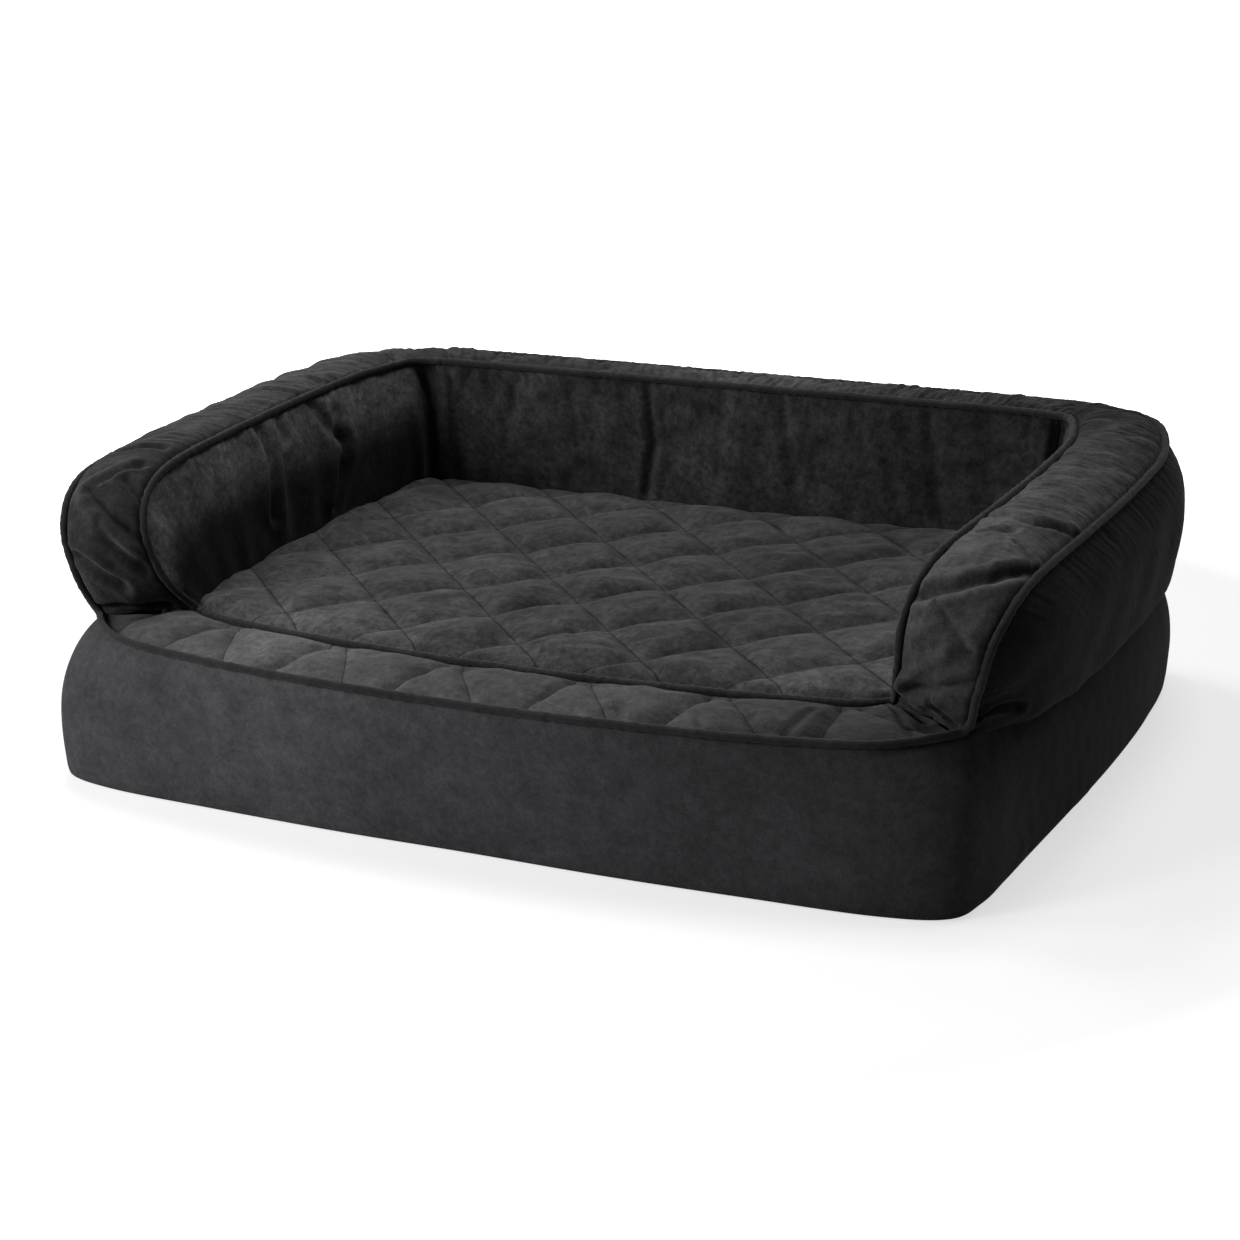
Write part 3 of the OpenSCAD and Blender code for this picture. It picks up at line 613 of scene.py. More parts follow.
WALL_FOLDS = [
    (0.0062, 0.0075, [(-0.738, 0.02), (-0.745, 0.15), (-0.740, 0.35), (-0.720, 0.70)]),
    (-0.0030, 0.010, [(-0.722, 0.10), (-0.722, 0.35), (-0.700, 0.65)]),
    (0.0045, 0.005, [(-0.778, 0.03), (-0.776, 0.22)]),
    (0.0035, 0.005, [(-0.596, 0.02), (-0.582, 0.16)]),
    (0.0060, 0.0065, [(-0.836, 0.03), (-0.857, 0.25), (-0.880, 0.40)]),
    (0.0060, 0.0065, [(-0.876, 0.20), (-0.882, 0.45), (-0.860, 0.68), (-0.847, 0.85)]),
    (-0.0035, 0.010, [(-0.855, 0.45), (-0.838, 0.80)]),
    (0.0130, 0.014, [(-1.052, 0.03), (-1.057, 0.95)]),
    (0.0035, 0.010, [(-1.090, 0.03), (-1.106, 0.28), (-1.105, 0.90)]),
    (0.0025, 0.005, [(-1.130, 0.05), (-1.115, 0.30)]),
    (0.0028, 0.006, [(-1.150, 0.05), (-1.168, 0.45)]),
    (0.0026, 0.006, [(-1.188, 0.10), (-1.172, 0.60)]),
    (0.0052, 0.005, [(-1.337, 0.05), (-1.345, 0.50), (-1.333, 0.90)]),
    (0.0022, 0.006, [(-1.251, 0.10), (-1.257, 0.55)]),
    (0.0020, 0.006, [(-1.421, 0.10), (-1.419, 0.65)]),
    (0.0028, 0.007, [(-1.488, 0.08), (-1.498, 0.72)]),
    (0.0020, 0.007, [(-1.590, 0.10), (-1.608, 0.75)]),
    (0.0030, 0.007, [(-1.643, 0.12), (-1.652, 0.80)]),
    (0.0035, 0.008, [(-1.778, 0.06), (-1.774, 0.45)]),
    (0.0120, 0.012, [(-1.800, 0.03), (-1.800, 0.95)]),
]
PANEL_FOLDS = [
    (0.0060, 0.005, [(-2.425, 0.35), (-2.400, 0.50), (-2.363, 0.68)]),
    (0.0040, 0.004, [(-2.440, 0.20), (-2.415, 0.40)]),
    (0.0060, 0.005, [(-0.430, 0.35), (-0.460, 0.55)]),
]


# How far from its line a fold is worked out, and its ridges: their height as a share of the
# fold's depth and their distance from it in half widths
FOLD_REACH = 0.05
RIDGE_SHARE = 0.3
RIDGE_APART = 2.1


def folds(lines, way, v, height):
    """The depth of the listed folds, each with a low ridge on both sides."""
    total = np.zeros(len(way))
    for depth, width, line in lines:
        ways = [place[0] for place in line]
        near = (way > min(ways) - FOLD_REACH) & (way < max(ways) + FOLD_REACH)
        x, y = way[near], v[near] * height
        apart = np.full(len(x), 1.0)
        for (x1, y1), (x2, y2) in zip(line, line[1:]):
            ex, ey = x2 - x1, (y2 - y1) * height
            share = np.clip(((x - x1) * ex + (y - y1 * height) * ey) / (ex * ex + ey * ey), 0, 1)
            apart = np.minimum(apart, np.hypot(x - x1 - share * ex, y - y1 * height - share * ey))
        ridge = groove(apart - RIDGE_APART * width, width)
        total[near] -= depth * (groove(apart, width) - RIDGE_SHARE * ridge)
    return total


# The strip's quilting lines: how far each family slants, in metres along for each across, and
# where it starts; then how strongly they show, and the places between which the noses have none
LIP_SLANTS = (0.16, 0.60)
BOLSTER_SLANT = 0.9
LINE_STARTS = (0.318, 0.234)
LINE_WANDER = 0.0015
LINE_WANDER_SIZE = 0.15
SECOND_LINE_SHARE = 0.8
BACK_SEWN_SHARE = 0.7
ARM_SEWN_SHARE = 0.3
NOSE_FADES_IN = (3.6, 4.4)
NOSE_FADES_OUT = (7.5, 8.5)

# The strip's relief, in metres
STRIP_DEEP = 0.0095
STRIP_SHOULDER = 0.011
LINE_SHARES = (0.15, 0.35)
STRIP_FADE = 0.010
STRIP_PULL = 0.0002
STRIP_PULL_REACH = 0.010
GATHER_SLANT = 0.45
GATHER_LENGTH = 0.10
GATHER_PLACES = (7.0, 8.5)
LEFT_GATHER = (0.00060, 0.012)
RIGHT_GATHER = (0.00080, 0.0085)
NOSE_GATHER = 0.00012
STRIP_SOFT = 0.00060
STRIP_SOFT_SIZE = 0.045
STRIP_SOFT_FADE = 0.012
STRIP_DIP = 0.0022
STRIP_DIP_HALF = 0.0035
STRIP_FOLD_FADE = (-0.006, 0.010)


def strip_lines(way, v):
    """The strip's two families of quilting lines. On the lip one runs nearly straight across;
    elsewhere both are slanted."""
    s = Station(place_of(way))
    w = (1 - v) * s.blend(LIP_WIDTH, ARM_TOP, BACK_TOP)
    wander = LINE_WANDER * ripple(np.stack([way, w], 1), LINE_WANDER_SIZE, 20)
    first, second = (slant * s.lip + BOLSTER_SLANT * (1 - s.lip) for slant in LIP_SLANTS)
    p = way + wander + LINE_STARTS[0] - first * w
    q = way + wander + LINE_STARTS[1] + second * w
    return p / STRIP_SPACING, q / STRIP_SPACING


def strip_sewn(way):
    """How strongly the strip's quilting shows: plainly on the lip, faintly on the arms."""
    s = Station(place_of(way))
    on_nose = ramp(s.place, *NOSE_FADES_IN) * (1 - ramp(s.place, *NOSE_FADES_OUT))
    return s.blend(1, ARM_SEWN_SHARE, BACK_SEWN_SHARE) * (1 - on_nose)


def strip_relief(way, v):
    s = Station(place_of(way))
    width = s.blend(LIP_WIDTH, ARM_TOP, BACK_TOP)
    w = (1 - v) * width
    edge = np.minimum(w, width - w)
    inside = ramp(edge, 0, STRIP_FADE)
    p, q = strip_lines(way, v)
    first, second = near_seams(p, STRIP_SPACING), near_seams(q, STRIP_SPACING * SECOND_LINE_SHARE)
    cushion = 1
    for share, seam in zip(LINE_SHARES, (first, second)):
        cushion = cushion * (share + (1 - share) * swell(seam, STRIP_SHOULDER))
    puff = STRIP_DEEP * strip_sewn(way) * (cushion - 1)
    pull = drawn_in(STRIP_PULL, w, first, STRIP_PULL_REACH, 23)
    pull += drawn_in(STRIP_PULL, w, second, STRIP_PULL_REACH, 24)
    right = (s.side > 0) & (way < -FOOT_WAY)
    slanted = np.where(right, way, way + GATHER_SLANT * w)
    tall, size = (np.where(right, *pair) for pair in zip(RIGHT_GATHER, LEFT_GATHER))
    tall = (tall * ramp(s.place, *GATHER_PLACES) + NOSE_GATHER) * (1 - s.lip)
    gathers = creases((tall, size, GATHER_LENGTH), slanted, w, 21, 30)
    soft = STRIP_SOFT * ripple(np.stack([way, w], 1), STRIP_SOFT_SIZE, 22)
    placed = folds(STRIP_FOLDS, way, v, ARM_TOP) * ramp(edge, *STRIP_FOLD_FADE)
    dip = -STRIP_DIP * groove(edge, STRIP_DIP_HALF)
    return (puff + gathers) * inside + pull + soft * ramp(edge, 0, STRIP_SOFT_FADE) + placed + dip


# The plain panels' relief. Creases have a height, a size along in metres and one across as a
# share, and a slant is in metres along for the whole way across. Reaches and the pairs between
# which a relief fades in are shares of the way across, from the top or from the foot.
WALL_BROAD = (0.0008, 0.06, 2.2)
WALL_TUCKS = (0.0003, 0.010, 1.0)
WALL_TOP_REACH = 0.15
WALL_FOOT_REACH = 0.1
WALL_FOOT_SHARE = 0.5
WALL_TOP_FADE = (0, 0.05)
WALL_FOOT_FADE = (-0.05, 0.1)
WALL_FOLD_FADE = (-0.03, 0.10)
PANEL_GATHERS = (0.00055, 0.0075, 0.8)
PANEL_GATHER_SLANT = 0.10
PANEL_GATHER_REACH = 0.22
PANEL_GRAIN = (0.00008, 0.010, 0.5)
PANEL_GRAIN_SLANT = 0.12
PANEL_SOFT = 0.0006
PANEL_SOFT_SIZE = 0.08
PANEL_SOFT_ACROSS = 0.15
PANEL_TOP_FADE = (0, 0.04)
PANEL_SOFT_TOP_FADE = (0, 0.15)
PANEL_SOFT_FOOT_FADE = (0, 0.1)
BORDER_SOFT = 0.0005
BORDER_SOFT_SIZE = 0.16
BORDER_FINE = 0.00010
BORDER_FINE_SIZE = 0.03
BORDER_TUCKS = (0.00022, 0.010, 0.5)
BORDER_TUCK_REACH = 0.10
BORDER_TOP_FADE = (0, 0.06)
BORDER_FOOT_FADE = (0, 0.05)


def wall_relief(way, v):
    broad = creases(WALL_BROAD, way, v, 31, 20)
    tucks = creases(WALL_TUCKS, way, v, 32, 30)
    near_foot = WALL_FOOT_SHARE * np.exp(-(1 - v) / WALL_FOOT_REACH)
    near_seam = np.exp(-v / WALL_TOP_REACH) + near_foot
    placed = folds(WALL_FOLDS, way, v, WALL_HEIGHT) * ramp(v, *WALL_FOLD_FADE)
    inside = ramp(v, *WALL_TOP_FADE) * ramp(1 - v, *WALL_FOOT_FADE)
    return (broad + tucks * near_seam) * inside + placed


def panel_relief(way, v):
    gathers = creases(PANEL_GATHERS, way - PANEL_GATHER_SLANT * v, v, 41, 30)
    grain = creases(PANEL_GRAIN, way - PANEL_GRAIN_SLANT * v, v, 43, 30)
    soft = PANEL_SOFT * ripple(np.stack([way, v * PANEL_SOFT_ACROSS], 1), PANEL_SOFT_SIZE, 42)
    soft = soft * ramp(v, *PANEL_SOFT_TOP_FADE) * ramp(1 - v, *PANEL_SOFT_FOOT_FADE)
    fine = gathers * groove(v, PANEL_GATHER_REACH) + grain
    placed = folds(PANEL_FOLDS, way, v, PANEL_HEIGHT)
    return (fine + placed) * ramp(v, *PANEL_TOP_FADE) + soft


def clear_of_zip(points):
    """0 over the zip and its stitching, 1 away from them."""
    beside = np.abs(points[:, 0]) - SLOT_HALF - ZIP_BESIDE
    above = np.abs(points[:, 2] - CHAIN_Z) - ZIP_ABOVE
    return np.where(points[:, 1] > 0, ramp(np.maximum(beside, above), 0, ZIP_FADE), 1)


def border_relief(way, v):
    points = np.stack([way, v * BORDER_HEIGHT], 1)
    soft = BORDER_SOFT * ripple(points, BORDER_SOFT_SIZE, 51)
    fine = BORDER_FINE * ripple(points, BORDER_FINE_SIZE, 52)
    tucks = creases(BORDER_TUCKS, way, v, 53, 24) * np.exp(-v / BORDER_TUCK_REACH)
    inside = ramp(v, *BORDER_TOP_FADE) * ramp(1 - v, *BORDER_FOOT_FADE)
    return (soft + fine + tucks) * inside * clear_of_zip(border(way, v))


def relieved(surface, relief, a, b):
    return surface(a, b) + outward(surface, a, b) * relief(a, b)[:, None]


def keep(mesh, name, values):
    """Keeps a value for each vertex, which materials read by its name."""
    mesh.attributes.new(name, "FLOAT", "POINT").data.foreach_set("value", values)


# How light the pile looks, its nap and painted light and shade together: at ways along the strip
# and the border, on the left wall painted light at the top falling to painted shade from its top
# down, and at shares of the pad's width and depth
STRIP_NAP_AND_LIGHT_WAYS = [RIGHT_FOOT, -2.38, -2.28, -2.1, -1.8, -1.6, -1.43, -1.2, -1.05, -0.9, -0.75, -0.6]
STRIP_NAP_AND_LIGHT = [0.5, 1.1, 1.5, 1.2, 0.32, 0.55, 1.1, 0.26, 0.6, 1.05, 0.90, 0.5]
STRIP_NAP_AND_LIGHT_WAYS += [-0.45, -FOOT_WAY, -0.35, -0.2, 0, 0.15, 0.3, FOOT_WAY]
STRIP_NAP_AND_LIGHT += [0.65, 0.8, 1.4, 1.75, 1.1, 1.25, 0.55, 0.75]
# The border's painted light is strongest at the front, left of the middle; its painted shade deepens
# round the right side
BORDER_NAP_AND_LIGHT_WAYS = [-0.5, -0.398, -0.3, -0.2, 0, 0.2, 0.4, 0.46, 0.6]
BORDER_NAP_AND_LIGHT = [1.15, 1.15, 1.4, 1.75, 1.3, 1.0, 0.85, 0.65, 0.22]
WALL_NAP = 0.95
LEFT_WALL_LIGHT_WAYS = (LEFT_CORNER - 0.01, LEFT_CORNER + 0.05)
LEFT_WALL_PAINTED_LIGHT = 2.5
LEFT_WALL_PAINTED_SHADE = 3.2
LEFT_WALL_SHADE_FALLS_BETWEEN = (0.15, 0.6)
# Painted light and shade across the pad's width, and lighter to the front, darker to the back
PAD_LIGHT_SHARES = [0, 0.3, 0.65, 1]
PAD_PAINTED_LIGHT = [1.40, 1.05, 0.66, 1.9]
PAD_FRONT_PAINTED_LIGHT = 1.2
PAD_PAINTED_SHADE_FALL = 0.42
# Painted shade beside the seams, where the pile is pressed down too: how much darker, and its half
# width in metres
SEAM_PAINTED_SHADE = 0.55
SEAM_PAINTED_SHADE_HALF = 0.0035


def nap_and_painted_light_at(surface, a, b):
    """How light the pile looks: its nap, brushed one way here and another way there, with painted
    light and shade laid over it, and painted shade beside the seams, where the pile is pressed down."""
    form = form_of(surface)
    from_seam = np.minimum(b, 1 - b) * SEAM_TO_SEAM[form]
    # Painted shade beside each seam
    pressed_and_shaded = 1 - SEAM_PAINTED_SHADE * groove(from_seam, SEAM_PAINTED_SHADE_HALF)
    if form is strip:
        return pressed_and_shaded * np.interp(a, STRIP_NAP_AND_LIGHT_WAYS, STRIP_NAP_AND_LIGHT)
    if form is border:
        return pressed_and_shaded * np.interp(a, BORDER_NAP_AND_LIGHT_WAYS, BORDER_NAP_AND_LIGHT)
    if form is wall:
        painted_light_on_left = LEFT_WALL_PAINTED_LIGHT - LEFT_WALL_PAINTED_SHADE * ramp(b, *LEFT_WALL_SHADE_FALLS_BETWEEN)
        return pressed_and_shaded * (WALL_NAP + ramp(a, *LEFT_WALL_LIGHT_WAYS) * painted_light_on_left)
    if form is panel:
        return pressed_and_shaded
    return np.interp(a, PAD_LIGHT_SHARES, PAD_PAINTED_LIGHT) * (PAD_FRONT_PAINTED_LIGHT - PAD_PAINTED_SHADE_FALL * b)


def thicken(obj, thickness):
    """Gives a cloth its thickness, inwards from the face that shows."""
    solid = obj.modifiers.new("thickness", "SOLIDIFY")
    solid.thickness = thickness
    solid.offset = -1


def cloth_piece(name, surface, relief, low, high, columns, rows, thickness):
    """A piece of the cover between the ways low and high, with its own thickness."""
    bm, grid = new_grid(columns, rows)
    a, b = low + grid[:, 0] * (high - low), grid[:, 1]
    move_to(bm, relieved(surface, relief, a, b))
    if facing(surface) < 0:
        bmesh.ops.reverse_faces(bm, faces=bm.faces)
    obj = finished_mesh(name, bm)
    # Each vertex keeps its nap together with painted light and shade
    keep(obj.data, "nap_and_painted_light", nap_and_painted_light_at(surface, a, b))
    form = form_of(surface)
    if form in QUILTED_LINES:
        p, q = QUILTED_LINES[form](a, b)
        keep(obj.data, "line_a", p)
        keep(obj.data, "line_b", q)
        keep(obj.data, "sewn", strip_sewn(a) if form is strip else np.ones(len(a)))
    thicken(obj, thickness)
    return obj


# The piping's points along, and its ripple and the ripple's size in metres
PIPING_POINTS = 1200
PIPING_RIPPLE = 0.00025
PIPING_RIPPLE_SIZE = 0.007


def piping_loop(name, node, seam, seed):
    """A closed loop of piping along a seam, with the small ripples of its bias cloth."""
    ways = np.linspace(RIGHT_FOOT, FOOT_WAY, PIPING_POINTS + 1)[:-1]
    places = place_of(ways)
    s = Station(places)
    points = getattr(s, seam)() + s.over((PROUD if seam == "inner" else -PROUD) + 0 * s.x)
    points[:, 2] += PROUD
    curve = bpy.data.curves.new(name, "CURVE")
    curve.dimensions = "3D"
    curve.bevel_depth = PIPING_RADIUS
    curve.bevel_resolution = 3
    spline = curve.splines.new("POLY")
    spline.points.add(len(points) - 1)
    spline.points.foreach_set("co", np.column_stack([points, np.ones(len(points))]).ravel())
    spline.use_cyclic_u = True
    obj = link(name, curve)
    bpy.context.view_layer.update()
    mesh = bpy.data.meshes.new_from_object(obj.evaluated_get(bpy.context.evaluated_depsgraph_get()))
    bpy.data.objects.remove(obj)
    bpy.data.curves.remove(curve)
    co = mesh_points(mesh)
    normals = np.empty(co.size)
    mesh.vertex_normals.foreach_get("vector", normals)
    normals = normals.reshape(-1, 3)
    co += normals * (PIPING_RIPPLE * ripple(co, PIPING_RIPPLE_SIZE, seed, 20))[:, None]
    mesh.vertices.foreach_set("co", co.ravel())
    mesh.name = name
    mesh.shade_smooth()
    obj = link(name, mesh)
    paint(obj, piping_velvet)
    stand_for(obj, [node], "piping_velvet")


def written(operation, swapped=False):
    """An operator on a shader's values, which adds a node that works it out."""

    def apply(self, other):
        a, b = (other, self) if swapped else (self, other)
        return self.shader.work_out(operation, a, b)

    return apply


class Value:
    """A shader output that sums and products can be written with."""

    def __init__(self, shader, socket):
        self.shader = shader
        self.socket = socket

    __add__ = written("ADD")
    __radd__ = written("ADD", swapped=True)
    __sub__ = written("SUBTRACT")
    __rsub__ = written("SUBTRACT", swapped=True)
    __mul__ = written("MULTIPLY")
    __rmul__ = written("MULTIPLY", swapped=True)
    __truediv__ = written("DIVIDE")
    __rtruediv__ = written("DIVIDE", swapped=True)
    __pow__ = written("POWER")


class Shader:
    """A material being built from nodes."""

    def __init__(self, name, owner=None):
        self.material = owner or bpy.data.materials.new(name)
        self.material.use_nodes = True
        self.tree = self.material.node_tree
        self.tree.nodes.clear()

    def node(self, kind, settings=None, sockets=None, output=0):
        made = self.tree.nodes.new(kind)
        for key, value in (settings or {}).items():
            setattr(made, key, value)
        for key, value in (sockets or {}).items():
            if isinstance(value, Value):
                self.tree.links.new(value.socket, made.inputs[key])
            else:
                made.inputs[key].default_value = value
        return Value(self, made.outputs[output]) if len(made.outputs) else made

    def work_out(self, operation, *values):
        return self.node("ShaderNodeMath", {"operation": operation}, dict(enumerate(values)))

    def place(self):
        return self.node("ShaderNodeTexCoord", output="Object")

    def noise(self, scale, detail=2.0, roughness=0.5, stretch=(1, 1, 1)):
        where = self.node("ShaderNodeMapping", None, {"Vector": self.place(), "Scale": stretch})
        sockets = {"Vector": where, "Scale": scale, "Detail": detail, "Roughness": roughness}
        return self.node("ShaderNodeTexNoise", None, sockets)

    def attribute(self, name):
        return self.node("ShaderNodeAttribute", {"attribute_name": name}, output="Fac")

    def stitch_line(self, name, spacing):
        """1 on each of the evenly spaced lines that an attribute counts, 0 beside them."""
        part = self.work_out("FRACT", self.attribute(name) + 0.5)
        off = self.work_out("ABSOLUTE", part - 0.5) * spacing
        return self.spread(off, 0.0003, 0.0015, 1, 0)

    def threads(self, direction, pitch):
        """1 on the crown of each thread of a weave, 0 between threads."""
        settings = {"wave_type": "BANDS", "bands_direction": direction, "wave_profile": "SIN"}
        sockets = {"Vector": self.place(), "Scale": math.pi / (10 * pitch), "Distortion": 0.4}
        return self.node("ShaderNodeTexWave", settings, sockets, output="Fac")

    def spread(self, value, low, high, to_low, to_high):
        sockets = {0: value, 1: low, 2: high, 3: to_low, 4: to_high}
        return self.node("ShaderNodeMapRange", {"clamp": True}, sockets)

    def tint(self, colour, strength):
        """A colour times a strength."""
        scaled = {0: colour, "Scale": strength}
        return self.node("ShaderNodeVectorMath", {"operation": "SCALE"}, scaled)

    def uneven(self, noise, amount):
        """A strength of about 1 that a noise raises and lowers by an amount."""
        return self.spread(noise, 0.3, 0.7, 1 - amount, 1 + amount)

    def bump(self, height, distance, strength):
        sockets = {"Height": height, "Distance": distance, "Strength": strength}
        return self.node("ShaderNodeBump", None, sockets)

    def finish(self, sockets):
        surface = self.node("ShaderNodeBsdfPrincipled", None, sockets)
        self.node("ShaderNodeOutputMaterial", None, {"Surface": surface})
        return self.material


# The pile's haze, its sheen over its colour, and how much darker it is along a line of stitches:
# painted shade in the seam, where the pile is pressed down too
PILE_SHINE = 0.05
SHEEN_OVER_COLOUR = 14
STITCH_PAINTED_SHADE = 0.65


def velvet(name, colour, sheen, blotch, with_nap_and_light=True, spacing=None):
    """Short pile: blotches where it has been brushed about, a fine fibre grain and a sheen. When
    brushed, its colour takes the nap and the painted light and shade kept on each vertex. With a
    spacing, the colour is darker along the quilting lines: painted shade in their grooves, where the
    pile is pressed down too."""
    s = Shader(name)
    broad = s.uneven(s.noise(7, 3.0, 0.6), 0.7 * blotch)
    cloud = s.uneven(s.noise(38, 4.0, 0.65), blotch)
    fine = s.uneven(s.noise(150, 4.0, 0.75), 1.2 * blotch)
    grain = s.spread(s.noise(900, 2.0, 0.7), 0.25, 0.75, 0.75, 1.25)
    strength = broad * cloud * fine * grain
    # The nap and the painted light and shade kept on each vertex
    if with_nap_and_light:
        strength = strength * s.attribute("nap_and_painted_light")
    if spacing:
        # Painted shade along the quilting lines, as in their grooves, with the pile pressed down there
        pressed_and_shaded = s.stitch_line("line_a", spacing) + s.stitch_line("line_b", spacing)
        strength = strength * (1 - STITCH_PAINTED_SHADE * pressed_and_shaded * s.attribute("sewn"))
    pile = s.noise(1500, 2.0, 0.6) * 0.4 + s.noise(320, 3.0, 0.65)
    return s.finish(
        {
            "Base Color": s.tint(colour, strength),
            "Roughness": 0.9,
            "Specular IOR Level": PILE_SHINE,
            "Sheen Weight": sheen,
            "Sheen Roughness": 0.45,
            "Sheen Tint": (*(min(1, SHEEN_OVER_COLOUR * c) for c in colour), 1),
            "Normal": s.bump(pile, 0.0010, 0.6),
        }
    )


def plain_finish(name, colour, roughness, grain_scale, grain, distance):
    """A plain finish with a little grain in its colour and its surface."""
    s = Shader(name)
    speckle = s.noise(grain_scale, 3.0, 0.6)
    return s.finish(
        {
            "Base Color": s.tint(colour, s.uneven(speckle, grain)),
            "Roughness": roughness,
            "Normal": s.bump(speckle, distance, 0.6),
        }
    )


def woven(name, colour, pitch, roughness, lightness):
    """A plain weave of the given pitch, with each thread a little lighter or darker, and painted shade
    between the threads.
    """
    s = Shader(name)
    threads = [s.threads(direction, pitch) for direction in ("X", "Y", "Z")]
    crown = threads[0] * 0.5 + threads[1] * 0.25 + threads[2] * 0.25
    uneven = s.uneven(s.noise(220, 3.0, 0.6), lightness)
    return s.finish(
        {
            # Painted shade between the threads: the colour darkens away from each thread's crown
            "Base Color": s.tint(colour, (0.6 + crown * 0.7) * uneven),
            "Roughness": roughness,
            "Sheen Weight": 0.1,
            "Normal": s.bump(crown, pitch * 0.4, 0.7),
        }
    )


def dotted_cloth(name, colour, pitch):
    """Non-slip cloth: a dull weave with rows of small rubber dots."""
    s = Shader(name)
    parts = s.node("ShaderNodeSeparateXYZ", None, {0: s.place()}).socket.node
    x, y = (Value(s, parts.outputs[i]) / pitch for i in (0, 1))
    dx = s.work_out("FRACT", x + y + 100) - 0.5
    dy = s.work_out("FRACT", x - y + 100) - 0.5
    dot = s.spread((dx * dx + dy * dy) ** 0.5, 0.20, 0.26, 1, 0)
    crown = s.threads("X", 0.0009) * s.threads("Y", 0.0009)
    return s.finish(
        {
            # Painted shade between the threads, darker away from each crown; the rubber dots are
            # lighter
            "Base Color": s.tint(colour, 0.7 + crown * 0.5 + dot * 0.8),
            "Roughness": s.spread(dot, 0, 1, 0.9, 0.5),
            "Normal": s.bump(dot + crown * 0.15, 0.0006, 0.8),
        }
    )


def creased_film(name, colour):
    """Thin coated cloth with soft creases and a low gloss."""
    s = Shader(name)
    folded = s.noise(24, 4.0, 0.55) + s.noise(90, 3.0, 0.6) * 0.3
    uneven = s.uneven(s.noise(300, 3.0, 0.6), 0.08)
    return s.finish(
        {
            "Base Color": s.tint(colour, uneven),
            "Roughness": s.spread(s.noise(40), 0.3, 0.7, 0.35, 0.5),
            "Normal": s.bump(folded, 0.004, 0.6),
        }
    )


def painted_metal(name, colour):
    """Black painted cast metal, scuffed a little."""
    s = Shader(name)
    scuff = s.spread(s.noise(260, 5.0, 0.7), 0.50, 0.75, 0, 1)
    return s.finish(
        {
            "Base Color": s.tint(colour, 1 + scuff * 1.2),
            "Metallic": 0.7,
            "Roughness": s.spread(scuff, 0, 1, 0.32, 0.5),
            "Coat Weight": 0.25,
            "Normal": s.bump(s.noise(1400, 2.0, 0.5), 0.0001, 0.5),
        }
    )


def paint(obj, material):
    obj.data.materials.clear()
    obj.data.materials.append(material)


def stand_for(obj, node, slot, body="bed"):
    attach(obj, body)
    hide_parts(*node)


def cut_from(cut, over):
    """Unpacks a sewn panel's cut into its width, length and area, and turns what it lies on into a
    list; neither is kept.
    """
    width, length, area = cut
    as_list(over)


# The colours of the cover's velvet where its pile lies evenly; the side panels' colour is the same
# velvet darkened with painted shade
QUILTED = (0.042, 0.042, 0.0427)
WALL = (0.035, 0.035, 0.0356)
SIDE_IN_PAINTED_SHADE = (0.0085, 0.0085, 0.0087)
BORDER = (0.039, 0.0386, 0.0415)
PIPED = (0.022, 0.022, 0.0225)

quilted_velvet = velvet("quilted_velvet", QUILTED, 0.12, 0.40, spacing=QUILT_SPACING)
strip_velvet = velvet("strip_velvet", QUILTED, 0.12, 0.32, spacing=STRIP_SPACING)
wall_velvet = velvet("wall_velvet", WALL, 0.07, 0.45)
# The side panels' velvet: the cover's velvet darkened with painted shade
side_velvet_painted_shade = velvet("side_velvet_painted_shade", SIDE_IN_PAINTED_SHADE, 0.03, 0.35)
border_velvet = velvet("border_velvet", BORDER, 0.09, 0.20)
piping_velvet = velvet("piping_velvet", PIPED, 0.30, 0.15, with_nap_and_light=False)
fibre_cloth = plain_finish("fibre_cloth", (0.78, 0.78, 0.75), 0.9, 300, 0.05, 0.0006)
grey_foam = plain_finish("grey_foam", (0.27, 0.28, 0.31), 0.9, 500, 0.12, 0.0004)
cream_foam = plain_finish("cream_foam", (0.70, 0.64, 0.48), 0.9, 500, 0.08, 0.0004)
tape_cloth = woven("tape_cloth", (0.010, 0.010, 0.0103), 0.0007, 0.8, 0.15)
thread = woven("thread", (0.020, 0.020, 0.0204), 0.0003, 0.7, 0.2)
coil_nylon = plain_finish("coil_nylon", (0.012, 0.012, 0.0124), 0.4, 900, 0.15, 0.0001)
black_metal = painted_metal("black_metal", (0.016, 0.016, 0.0165))
grip_cloth = dotted_cloth("grip_cloth", (0.012, 0.012, 0.0124), 0.012)
woven_cotton = woven("woven_cotton", (0.75, 0.75, 0.72), 0.0006, 0.85, 0.06)
liner_film = creased_film("liner_film", (0.11, 0.14, 0.20))


# The bolster's sides: what their nodes' names start with, and the ways that they run between
SIDES = {
    "left": ("left_arm", LEFT_CORNER, -FOOT_WAY),
    "back": ("back", RIGHT_CORNER, LEFT_CORNER),
    "right": ("right_arm", RIGHT_FOOT, RIGHT_CORNER),
}

# The pieces that the base's cover is stretched over
FOAM = ["support_slab", "memory_slab"]

# The grids of the cover's pieces
PAD_GRID = (380, 270)
LIP_COLUMNS = 420
STRIP_GRID_ROWS = 50
WALL_GRID_ROWS = 44
PANEL_GRID_ROWS = 56
BORDER_GRID_ROWS = 50


def quilted_piece(name, node, surface, relief, low, high, grid, material, fill):
    """A quilted piece of the cover, sewn over its wadding; fill, how full it is, is not used."""
    obj = cloth_piece(name, surface, relief, low, high, *grid, WADDING)
    paint(obj, material)
    stand_for(obj, [node], "quilted_velvet")


